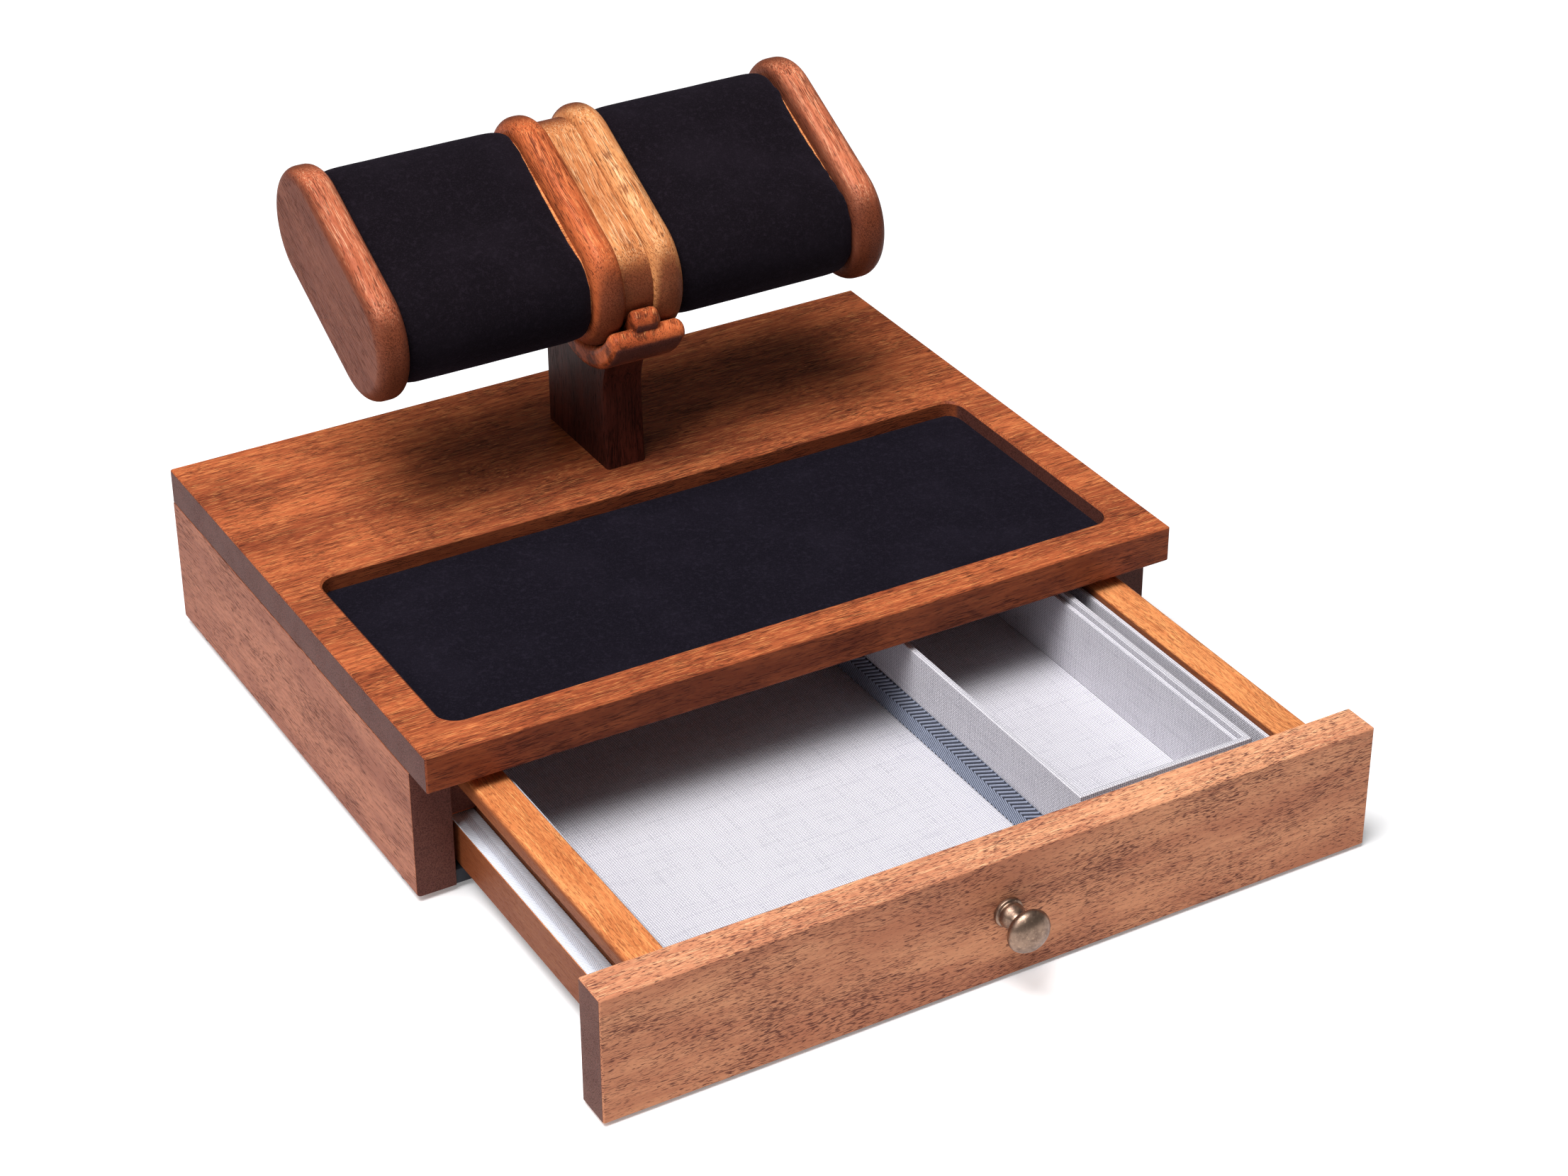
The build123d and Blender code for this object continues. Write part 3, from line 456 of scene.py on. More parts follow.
@dataclass(frozen=True)
class YarnFinish:
    """Twisted yarn of the herringbone tape."""

    name: str
    light: Colour
    shade: Colour

    def build(self) -> Material:
        """Makes the material."""
        graph = Graph(self.name)
        here = graph.coordinates()
        ply = graph.noise(here, 2600.0, 2.0, 0.6)
        patch = graph.noise(here, 140.0, 2.0, 0.5)
        hue = graph.mix(ply.ramped(0.35, 0.65) * 0.6 + patch * 0.3, self.light, self.shade)
        return graph.surface(
            Base_Color=hue,
            Roughness=ply * 0.1 + 0.8,
            Normal=graph.bump(ply, 0.00008, 0.7),
            Sheen_Weight=0.15,
            Specular_IOR_Level=0.25,
        )


@dataclass(frozen=True)
class AgedBrassFinish:
    """Browned brass with brighter specks strewn at random."""

    name: str

    def build(self) -> Material:
        """Makes the material."""
        graph = Graph(self.name)
        here = graph.coordinates()
        blotch = graph.noise(here, 260.0, 4.0, 0.65)
        speck = graph.noise(here, 1300.0, 3.0, 0.7)
        green = graph.noise(here, 420.0, 3.0, 0.6)
        hue = graph.mix(blotch.ramped(0.38, 0.66), (0.330, 0.225, 0.165), (0.165, 0.105, 0.080))
        hue = graph.mix(speck.ramped(0.56, 0.72) * 0.7, hue, (0.55, 0.38, 0.26))
        hue = graph.mix(green.ramped(0.58, 0.72) * 0.55, hue, (0.20, 0.115, 0.070))
        return graph.surface(
            Base_Color=hue,
            Metallic=0.92 - green.ramped(0.60, 0.72) * 0.3,
            Roughness=blotch * 0.28 + speck * 0.14 + 0.16,
            Normal=graph.bump(speck * 0.5 + blotch, 0.00012, 0.5),
        )


@dataclass(frozen=True)
class SteelFinish:
    """Zinc-plated steel of the screws."""

    name: str

    def build(self) -> Material:
        """Makes the material."""
        graph = Graph(self.name)
        here = graph.coordinates()
        scratch = graph.noise(here, 2200.0, 3.0, 0.6)
        hue = graph.mix(scratch.ramped(0.4, 0.7), (0.62, 0.62, 0.60), (0.45, 0.45, 0.44))
        return graph.surface(
            Base_Color=hue,
            Metallic=1.0,
            Roughness=scratch * 0.2 + 0.24,
            Normal=graph.bump(scratch, 0.00005, 0.4),
        )


@dataclass(frozen=True)
class FeltFinish:
    """Pressed felt of the feet."""

    name: str

    def build(self) -> Material:
        """Makes the material."""
        graph = Graph(self.name)
        here = graph.coordinates()
        fibre = graph.noise(here, 2400.0, 4.0, 0.75)
        clump = graph.noise(here, 600.0, 3.0, 0.6)
        hue = graph.mix(fibre.ramped(0.4, 0.7), (0.022, 0.021, 0.023), (0.060, 0.058, 0.060))
        return graph.surface(
            Base_Color=hue,
            Roughness=clump * 0.08 + 0.9,
            Normal=graph.bump(fibre + clump, 0.00035, 0.8),
            Sheen_Weight=0.2,
            Specular_IOR_Level=0.15,
        )


@dataclass(frozen=True)
class StainedBoardFinish:
    """Thin blue-black stained board."""

    name: str
    base: Colour = (0.016, 0.020, 0.030)
    worn: Colour = (0.045, 0.048, 0.060)

    def build(self) -> Material:
        """Makes the material."""
        graph = Graph(self.name)
        here = graph.coordinates()
        slow_x = graph.along(here, (0.08, 0.0, 0.0))
        stretched = graph.vector(slow_x, graph.along(here, ALONG_Y), 0.0)
        grain = graph.noise(stretched, 900.0, 3.0, 0.6)
        blotch = graph.noise(here, 45.0, 3.0, 0.5)
        hue = graph.mix(grain.ramped(0.45, 0.75) * 0.6 + blotch * 0.2, self.base, self.worn)
        return graph.surface(
            Base_Color=hue,
            Roughness=grain * 0.2 + 0.55,
            Normal=graph.bump(grain, 0.0001, 0.5),
        )


Finish = Union[
    WoodFinish, SuedeFinish, LinenFinish, YarnFinish, AgedBrassFinish, SteelFinish, FeltFinish,
    StainedBoardFinish,
]


# ---- Mesh helpers -------------------------------------------------------------------
def linked(name: str, mesh: bpy.types.Mesh) -> Piece:
    """Puts a mesh into the scene.

    Args:
        name: the piece's name.
        mesh: its mesh, already in place.

    Returns:
        The object, at the origin.
    """
    made = bpy.data.objects.new(name, mesh)
    bpy.context.scene.collection.objects.link(made)
    return made


def from_bmesh(name: str, shape: Shape) -> Piece:
    """Turns a bmesh into a piece and frees it.

    Args:
        name: the piece's name.
        shape: the bmesh.

    Returns:
        The piece.
    """
    mesh = bpy.data.meshes.new(name)
    shape.to_mesh(mesh)
    shape.free()
    return linked(name, mesh)


def smoothed(piece: Piece, angle: float = 34.0) -> Piece:
    """Smooth shading with sharp edges and flat faces kept flat.

    Args:
        piece: the object.
        angle: edges sharper than this stay sharp, in degrees.

    Returns:
        The same object.
    """
    mesh = piece.data
    mesh.polygons.foreach_set("use_smooth", [True] * len(mesh.polygons))
    mesh.set_sharp_from_angle(angle=math.radians(angle))
    weighted = piece.modifiers.new("flats", "WEIGHTED_NORMAL")
    weighted.keep_sharp = True
    weighted.weight = 80
    return baked(piece)


def baked(piece: Piece) -> Piece:
    """Applies every modifier of a piece by way of its evaluated mesh.

    Args:
        piece: the object.

    Returns:
        The same object.
    """
    view = bpy.context.evaluated_depsgraph_get()
    view.update()
    mesh = bpy.data.meshes.new_from_object(
        piece.evaluated_get(view), preserve_all_data_layers=True, depsgraph=view
    )
    mesh.name = piece.name
    old = piece.data
    piece.modifiers.clear()
    piece.data = mesh
    if old.users == 0:
        bpy.data.meshes.remove(old)
    return piece


def softened_copy(node: str, name: str, bevel: float, segments: int = 3) -> Piece:
    """A merged copy of a CAD node with its sharp edges rounded.

    Args:
        node: the CAD node.
        name: the piece's name.
        bevel: width of the rounding, in metres.
        segments: its steps.

    Returns:
        The piece.
    """
    shape = bmesh.new()
    shape.from_mesh(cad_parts[node].data)
    bmesh.ops.remove_doubles(shape, verts=shape.verts, dist=1e-6)
    bmesh.ops.dissolve_limit(
        shape, angle_limit=math.radians(0.3), verts=shape.verts, edges=shape.edges
    )
    sharp = [e for e in shape.edges if len(e.link_faces) == 2 and e.calc_face_angle(0.0) > 0.5]
    bmesh.ops.bevel(
        shape, geom=sharp, offset=bevel, segments=segments, affect="EDGES", profile=0.5,
        clamp_overlap=True,
    )
    return smoothed(from_bmesh(name, shape))


def dressed(
    piece: Piece, finish: Finish, body: str, nodes: Sequence[str] = ()
) -> Piece:
    """Gives a piece its finish, body and the CAD nodes it stands for.

    Args:
        piece: the object.
        finish: how its surface looks.
        body: the CAD body it moves with.
        nodes: the CAD nodes it replaces.

    Returns:
        The same object.
    """
    piece.data.materials.clear()
    piece.data.materials.append(finish.build())
    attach(piece, body)
    if nodes:
        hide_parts(*nodes)
    LOG.info("%s: %d faces", piece.name, len(piece.data.polygons))
    return piece


def board(
    node: str, finish: Finish, body: str, rounding: float, segments: int = 3
) -> Piece:
    """Shows a CAD node as a copy with its sharp edges rounded.

    Args:
        node: the CAD node it stands for.
        finish: how its surface looks.
        body: the CAD body it moves with.
        rounding: of its edges, in metres.
        segments: steps of the rounding.

    Returns:
        The piece.
    """
    piece = softened_copy(node, f"{node}_shown", rounding, segments)
    return dressed(piece, finish, body, [node])


def repainted(node: str, finish: Finish) -> None:
    """Finishes a CAD node that is shown as it is.

    Args:
        node: the CAD node.
        finish: how its surface looks.
    """
    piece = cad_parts[node]
    piece.data.materials.clear()
    piece.data.materials.append(finish.build())


def lofted(name: str, rings: Sequence[Sequence[Vector]]) -> Piece:
    """A filled skin over closed rings with the same number of points.

    Args:
        name: the piece's name.
        rings: the rings in order.

    Returns:
        The piece, faces outwards.
    """
    shape = bmesh.new()
    rows = [[shape.verts.new(point) for point in ring] for ring in rings]
    count = len(rows[0])
    for lower, upper in zip(rows, rows[1:]):
        for i in range(count):
            j = (i + 1) % count
            shape.faces.new((lower[i], lower[j], upper[j], upper[i]))
    shape.faces.new(list(reversed(rows[0])))
    shape.faces.new(rows[-1])
    bmesh.ops.recalc_face_normals(shape, faces=shape.faces)
    return from_bmesh(name, shape)


def prism(
    name: str, outline: Sequence[Vector], direction: Vector, bevel: float, segments: int = 4
) -> Piece:
    """A flat outline pulled along a direction, with both end rims rounded.

    Args:
        name: the piece's name.
        outline: its corners in order.
        direction: how far and which way it is pulled.
        bevel: rounding of the two rims, in metres.
        segments: steps of the rounding.

    Returns:
        The piece.
    """
    shape = bmesh.new()
    first = [shape.verts.new(point) for point in outline]
    last = [shape.verts.new(point + direction) for point in outline]
    shape.faces.new(first)
    shape.faces.new(list(reversed(last)))
    for i, corner in enumerate(first):
        j = (i + 1) % len(first)
        shape.faces.new((corner, last[i], last[j], first[j]))
    bmesh.ops.recalc_face_normals(shape, faces=shape.faces)
    rims = [e for e in shape.edges if any(len(f.verts) > 4 for f in e.link_faces)]
    if bevel > 0.0:
        bmesh.ops.bevel(
            shape, geom=rims, offset=bevel, segments=segments, affect="EDGES", profile=0.5,
            clamp_overlap=True,
        )
    return from_bmesh(name, shape)


def joined(name: str, pieces: Sequence[Piece]) -> Piece:
    """Several meshes as one piece.

    Args:
        name: the new piece's name.
        pieces: the objects, which are removed.

    Returns:
        The piece.
    """
    shape = bmesh.new()
    for piece in pieces:
        shape.from_mesh(piece.data)
        bpy.data.objects.remove(piece)
    return from_bmesh(name, shape)


def woven_tape(
    node: str,
    floats: Piece,
    band: Piece,
    yarn: YarnFinish,
    painted_gap_shade: YarnFinish,
    body: str,
) -> None:
    """One tape: raised yarn floats on a flat band, whose darker colour paints the shade between
    them.

    Args:
        node: the CAD node it stands for.
        floats: the yarns.
        band: the cloth between and under them.
        yarn: finish of the floats.
        painted_gap_shade: finish of the band, darker to paint the shade between the floats.
        body: the CAD body it moves with.
    """
    dressed(smoothed(floats, SMOOTH_ROUND), yarn, body)
    dressed(band, painted_gap_shade, body, [node])


# ---- Geometry Nodes -------------------------------------------------------------------
class RepeatTree:
    """A Geometry Nodes tree with named inputs, ending in realised instances."""

    def __init__(self, name: str, inputs: dict[str, tuple[str, float]]) -> None:
        """Starts the tree.

        Args:
            name: the tree's name.
            inputs: each input's name, socket type and value.
        """
        self.tree = bpy.data.node_groups.new(name, "GeometryNodeTree")
        sockets = self.tree.interface
        sockets.new_socket("Geometry", in_out="OUTPUT", socket_type="NodeSocketGeometry")
        for key, (kind, value) in inputs.items():
            socket = sockets.new_socket(key, in_out="INPUT", socket_type=kind)
            socket.default_value = value
        self.entry = self.tree.nodes.new("NodeGroupInput")
        self.exit = self.tree.nodes.new("NodeGroupOutput")

    def node(
        self, kind: str, settings: Optional[dict] = None, inputs: Optional[dict] = None
    ) -> Node:
        """Adds one node.

        Args:
            kind: the node's type.
            settings: its properties.
            inputs: values or sockets of its inputs.

        Returns:
            The node.
        """
        made = self.tree.nodes.new(kind)
        for key, value in (settings or {}).items():
            setattr(made, key, value)
        for key, value in (inputs or {}).items():
            if isinstance(value, Socket):
                self.tree.links.new(value, made.inputs[key])
            else:
                made.inputs[key].default_value = value
        return made

    def maths(self, operation: str, *values: Union[Socket, float]) -> Socket:
        """A Math node's result."""
        made = self.node("ShaderNodeMath", {"operation": operation}, dict(enumerate(values)))
        return made.outputs[0]

    def end(self, instances: Socket, material: Material) -> None:
        """Realises the instances, sets their material and ends the tree.

        Args:
            instances: the placed instances.
            material: what they are made of.
        """
        real = self.node("GeometryNodeRealizeInstances", None, {0: instances})
        painted = self.node(
            "GeometryNodeSetMaterial", None, {0: real.outputs[0], "Material": material}
        )
        self.tree.links.new(painted.outputs[0], self.exit.inputs[0])

    def mesh(self, name: str, place: Matrix, **values: float) -> Piece:
        """Runs the tree into a plain mesh.

        Args:
            name: the piece's name.
            place: where the tree's own frame goes.
            values: inputs that differ from the tree's, with _ for a space.

        Returns:
            The piece.
        """
        host = linked(name, bpy.data.meshes.new(name))
        modifier = host.modifiers.new("repeat", "NODES")
        modifier.node_group = self.tree
        items = self.tree.interface.items_tree
        sockets = {item.name: item.identifier for item in items if item.in_out == "INPUT"}
        for key, value in values.items():
            modifier[sockets[key.replace("_", " ")]] = value
        baked(host)
        host.data.transform(place)
        return host


def herringbone_tree(name: str, yarn: Material) -> RepeatTree:
    """Yarn floats of a herringbone tape, lying in the XY plane from the origin.

    Args:
        name: the tree's name.
        yarn: the floats' material.

    Returns:
        The tree.
    """
    tree = RepeatTree(
        name,
        {
            "Length": ("NodeSocketFloat", 0.1),
            "Width": ("NodeSocketFloat", 0.01),
            "Pitch": ("NodeSocketFloat", 0.001),
            "Columns": ("NodeSocketInt", 4),
            "Lean": ("NodeSocketFloat", 0.76),
            "Yarn": ("NodeSocketFloat", 0.00026),
        },
    )
    given = tree.entry.outputs
    column = tree.maths("DIVIDE", given["Width"], given["Columns"])
    rows = tree.maths("FLOOR", tree.maths("DIVIDE", given["Length"], given["Pitch"]))
    span = tree.maths("SUBTRACT", given["Width"], column)
    reach = tree.maths("MULTIPLY", given["Pitch"], tree.maths("SUBTRACT", rows, 1.0))
    grid = tree.node(
        "GeometryNodeMeshGrid",
        None,
        {"Size X": reach, "Size Y": span, "Vertices X": rows, "Vertices Y": given["Columns"]},
    )
    place = tree.node("GeometryNodeInputPosition")
    split = tree.node("ShaderNodeSeparateXYZ", None, {0: place.outputs[0]})
    from_edge = tree.maths("ADD", split.outputs[1], tree.maths("MULTIPLY", span, 0.5))
    lane = tree.maths("DIVIDE", from_edge, column)
    odd = tree.maths("MODULO", tree.maths("ROUND", lane), 2.0)
    sign = tree.maths("SUBTRACT", 1.0, tree.maths("MULTIPLY", odd, 2.0))
    angle = tree.maths("MULTIPLY", sign, given["Lean"])
    turn = tree.node("ShaderNodeCombineXYZ", None, {0: 0.0, 1: math.pi / 2, 2: angle})
    float_length = tree.maths("DIVIDE", column, tree.maths("SINE", given["Lean"]))
    yarn_float = tree.node(
        "GeometryNodeMeshCylinder",
        None,
        {"Vertices": 6, "Radius": given["Yarn"], "Depth": float_length},
    )
    placed = tree.node(
        "GeometryNodeInstanceOnPoints",
        None,
        {
            "Points": grid.outputs[0],
            "Instance": yarn_float.outputs[0],
            "Rotation": turn.outputs[0],
        },
    )
    tree.end(placed.outputs[0], yarn)
    return tree


def pad_tree(name: str, felt: Material) -> RepeatTree:
    """Round pads in rows, standing on the XY plane and centred on the origin.

    Args:
        name: the tree's name.
        felt: the pads' material.

    Returns:
        The tree.
    """
    tree = RepeatTree(
        name,
        {
            "Across": ("NodeSocketFloat", 0.2),
            "Along": ("NodeSocketFloat", 0.2),
            "Radius": ("NodeSocketFloat", 0.005),
            "Height": ("NodeSocketFloat", 0.002),
            "Rows": ("NodeSocketInt", 2),
        },
    )
    given = tree.entry.outputs
    grid = tree.node(
        "GeometryNodeMeshGrid",
        None,
        {
            "Size X": given["Across"], "Size Y": given["Along"],
            "Vertices X": given["Rows"], "Vertices Y": given["Rows"],
        },
    )
    pad = tree.node(
        "GeometryNodeMeshCylinder",
        None,
        {
            "Vertices": 40, "Side Segments": 3, "Fill Segments": 4,
            "Radius": given["Radius"], "Depth": given["Height"],
        },
    )
    half_height = tree.maths("MULTIPLY", given["Height"], 0.5)
    lift = tree.node("ShaderNodeCombineXYZ", None, {2: half_height})
    raised = tree.node(
        "GeometryNodeTransform", None, {"Geometry": pad.outputs[0], "Translation": lift.outputs[0]}
    )
    placed = tree.node(
        "GeometryNodeInstanceOnPoints",
        None,
        {"Points": grid.outputs[0], "Instance": raised.outputs[0]},
    )
    tree.end(placed.outputs[0], felt)
    return tree


# ---- The watch roll -----------------------------------------------------------------
@dataclass
class OvalSection:
    """The roll's tilted oval section and how it lies in the box."""

    centre_y: float = 48.8 * MM
    centre_z: float = 136.4 * MM
    tilt: float = math.radians(27.4)
    half_spread: float = 22.0 * MM

    def place(self, x: float, along: float, across: float) -> Vector:
        """World place of a point of the section.

        Args:
            x: where it lies along the roll.
            along: its distance from the middle along the oval's long axis.
            across: its distance from that axis.

        Returns:
            The place.
        """
        y = self.centre_y + along * math.cos(self.tilt) - across * math.sin(self.tilt)
        z = self.centre_z + along * math.sin(self.tilt) + across * math.cos(self.tilt)
        return Vector((x, y, z))

    def grain(self) -> Point:
        """Direction of the oval's long axis."""
        return (0.0, math.cos(self.tilt), math.sin(self.tilt))

    def ring(
        self, x: float, radius: float, arc_steps: int = 40, flat_steps: int = 14
    ) -> list[Vector]:
        """One closed ring of the oval.

        Args:
            x: where it lies along the roll.
            radius: of its round ends.
            arc_steps: points on each round end.
            flat_steps: points on each flat.

        Returns:
            The ring's points.
        """
        points: list[Vector] = []
        for side in (1.0, -1.0):
            for i in range(arc_steps):
                angle = math.pi * (i / arc_steps - 0.5)
                along = side * (self.half_spread + radius * math.cos(angle))
                points.append(self.place(x, along, side * radius * math.sin(angle)))
            for i in range(flat_steps):
                along = side * self.half_spread * (1.0 - 2.0 * i / flat_steps)
                points.append(self.place(x, along, side * radius))
        return points

    def block(
        self, name: str, start: float, length: float, radius: float, rounding: float
    ) -> Piece:
        """An oval block with rounded rims.

        Args:
            name: the piece's name.
            start: where it begins along the roll.
            length: how far it goes.
            radius: of its round ends.
            rounding: of its two rims.

        Returns:
            The piece.
        """
        steps = 9
        rims = []
        for i in range(steps + 1):
            angle = math.pi / 2 * i / steps
            inward = rounding * (1.0 - math.cos(angle))
            rims.append((inward, radius - rounding * (1.0 - math.sin(angle))))
        stations = rims + [(length - x, r) for x, r in reversed(rims)]
        rings = [self.ring(start + x, r) for x, r in stations]
        return smoothed(lofted(name, rings), SMOOTH_ROUND)


@dataclass
class WatchRoll:
    """Wooden hub, flanges and caps with two padded suede pillows."""

    section: OvalSection = field(default_factory=OvalSection)
    hub_radius: float = 17.0 * MM
    hub_width: float = 10.1 * MM
    hub_round: float = 0.3 * MM
    flange_radius: float = 20.5 * MM
    flange_thickness: float = 10.5 * MM
    flange_round: float = 4.7 * MM
    pillow_length: float = 63.8 * MM
    pillow_radius: float = 18.4 * MM
    pillow_swell: float = 1.0 * MM
    cap_radius: float = 20.5 * MM
    cap_thickness: float = 10.8 * MM
    cap_round: float = 4.3 * MM
    tuck_depth: float = 0.9 * MM
    tuck_reach: float = 5.0 * MM
    voxel: float = 2.4 * MM
    cloth_frames: int = 18
    cloth_pressure: float = 4.0
    crease_depth: float = 0.10 * MM
    crease_scale: float = 140.0
    # Colour of the roll's round ends: partly darker end grain, partly painted shade.
    end_shade: Colour = (0.175, 0.044, 0.020)
    suede_base: Colour = (0.0052, 0.0034, 0.0053)
    suede_brushed: Colour = (0.0175, 0.0122, 0.0185)

    def build(self) -> None:
        """Makes every piece of the roll."""
        section = self.section
        hub = section.block(
            "hub_core_shown", -self.hub_width / 2, self.hub_width, self.hub_radius, self.hub_round
        )
        hub_wood = self.wood("hub wood", WoodTone.GOLD, 0.31)
        dressed(hub, hub_wood, "watch_roll", ["hub_core"])
        for side, label in ((1.0, "right"), (-1.0, "left")):
            self.flange(side, label)
            self.pillow(side, label)
            self.cap(side, label)
            core_wood = WoodFinish(f"pillow core wood {label}", WoodTone.DRAWER)
            repainted(f"pillow_core_{label}", core_wood)

    def wood(self, name: str, tone: WoodTone, shift: float, painted_flank_shade: float = 0.15) -> WoodFinish:
        """Wood with its grain along the oval and darker round ends, partly end grain and partly
        painted shade.

        Args:
            name: the finish's name.
            tone: its colours.
            shift: which part of the board it shows.
            painted_flank_shade: how much painted shade darkens its upright faces.

        Returns:
            The finish.
        """
        # The wide end ramp spreads the end colour round the ends as painted shade.
        return WoodFinish(
            name, tone, self.section.grain(), shift,
            painted_flank_shade=painted_flank_shade, end_start=0.22, end_full=0.70, end_shade=self.end_shade,
        )

    def spanned(self, side: float, near: float, length: float) -> float:
        """Start of a piece that lies between near and near + length on one side."""
        return near if side > 0 else -near - length

    def flange(self, side: float, label: str) -> None:
        """One bull-nosed flange beside the hub.

        Args:
            side: 1 for the right one and -1 for the left one.
            label: its name in the pieces' names.
        """
        start = self.spanned(side, self.hub_width / 2, self.flange_thickness)
        piece = self.section.block(
            f"flange_{label}_shown", start, self.flange_thickness, self.flange_radius,
            self.flange_round,
        )
        tone = WoodTone.GOLD if side > 0 else WoodTone.RED
        finish = self.wood(f"flange wood {label}", tone, 0.07 + 0.2 * side)
        dressed(piece, finish, "watch_roll", [f"flange_{label}"])

    def cap(self, side: float, label: str) -> None:
        """One end cap.

        Args:
            side: 1 for the right one and -1 for the left one.
            label: its name in the pieces' names.
        """
        near = self.hub_width / 2 + self.flange_thickness + self.pillow_length
        start = self.spanned(side, near, self.cap_thickness)
        piece = self.section.block(
            f"end_cap_{label}_shown", start, self.cap_thickness, self.cap_radius, self.cap_round
        )
        # The 0.74 darkens the caps' upright faces as painted shade.
        finish = self.wood(f"cap wood {label}", WoodTone.CAP, 0.55 + 0.2 * side, 0.74)
        dressed(piece, finish, "watch_roll", [f"end_cap_{label}"])

    def pillow(self, side: float, label: str) -> None:
        """One padded sleeve: inflated cloth over a slightly smaller oval.

        Args:
            side: 1 for the right one and -1 for the left one.
            label: its name in the pieces' names.
        """
        near = self.hub_width / 2 + self.flange_thickness
        start = self.spanned(side, near, self.pillow_length)
        slim = self.pillow_radius - self.pillow_swell
        stations = []
        steps = 26
        for i in range(steps + 1):
            share = i / steps
            edge = min(share, 1.0 - share) * self.pillow_length
            tuck = self.tuck_depth * max(0.0, 1.0 - edge / self.tuck_reach) ** 2
            stations.append(self.section.ring(start + share * self.pillow_length, slim - tuck))
        piece = lofted(f"pillow_cover_{label}_shown", stations)
        self.inflate(piece, start)
        suede = SuedeFinish(f"pillow suede {label}", self.suede_base, self.suede_brushed)
        dressed(piece, suede, "watch_roll", [f"pillow_cover_{label}"])

    def held_in(self, piece: Piece, start: float) -> None:
        """Keeps a pillow between its two wooden neighbours."""
        for vertex in piece.data.vertices:
            vertex.co.x = min(max(vertex.co.x, start), start + self.pillow_length)

    def inflate(self, piece: Piece, start: float) -> None:
        """Cloth with a little pressure, then one subdivision.

        Args:
            piece: the slim pillow.
            start: where it begins along the roll.
        """
        remesh = piece.modifiers.new("voxels", "REMESH")
        remesh.mode = "VOXEL"
        remesh.voxel_size = self.voxel
        baked(piece)
        rest = [vertex.co.copy() for vertex in piece.data.vertices]
        cloth = piece.modifiers.new("cloth", "CLOTH")
        cloth.settings.use_pressure = True
        cloth.settings.uniform_pressure_force = self.cloth_pressure
        cloth.settings.effector_weights.gravity = 0.0
        cloth.settings.quality = 6
        cloth.settings.tension_stiffness = 40.0
        cloth.settings.compression_stiffness = 40.0
        cloth.settings.bending_stiffness = 2.0
        scene = bpy.context.scene
        for step in range(1, self.cloth_frames + 1):
            scene.frame_set(step)
        view = bpy.context.evaluated_depsgraph_get()
        swollen = [v.co.copy() for v in piece.evaluated_get(view).data.vertices]
        piece.modifiers.clear()
        scene.frame_set(1)
        for vertex, before, after in zip(piece.data.vertices, rest, swollen):
            move = after - before
            if move.length > self.pillow_swell:
                move *= self.pillow_swell / move.length
            crease = noise.noise(before * self.crease_scale) * self.crease_depth
            vertex.co = before + move + move.normalized() * crease
        self.held_in(piece, start)
        subdivided = piece.modifiers.new("finer", "SUBSURF")
        subdivided.levels = 1
        subdivided.render_levels = 1
        baked(piece)
        self.held_in(piece, start)
        smoothed(piece, 70.0)


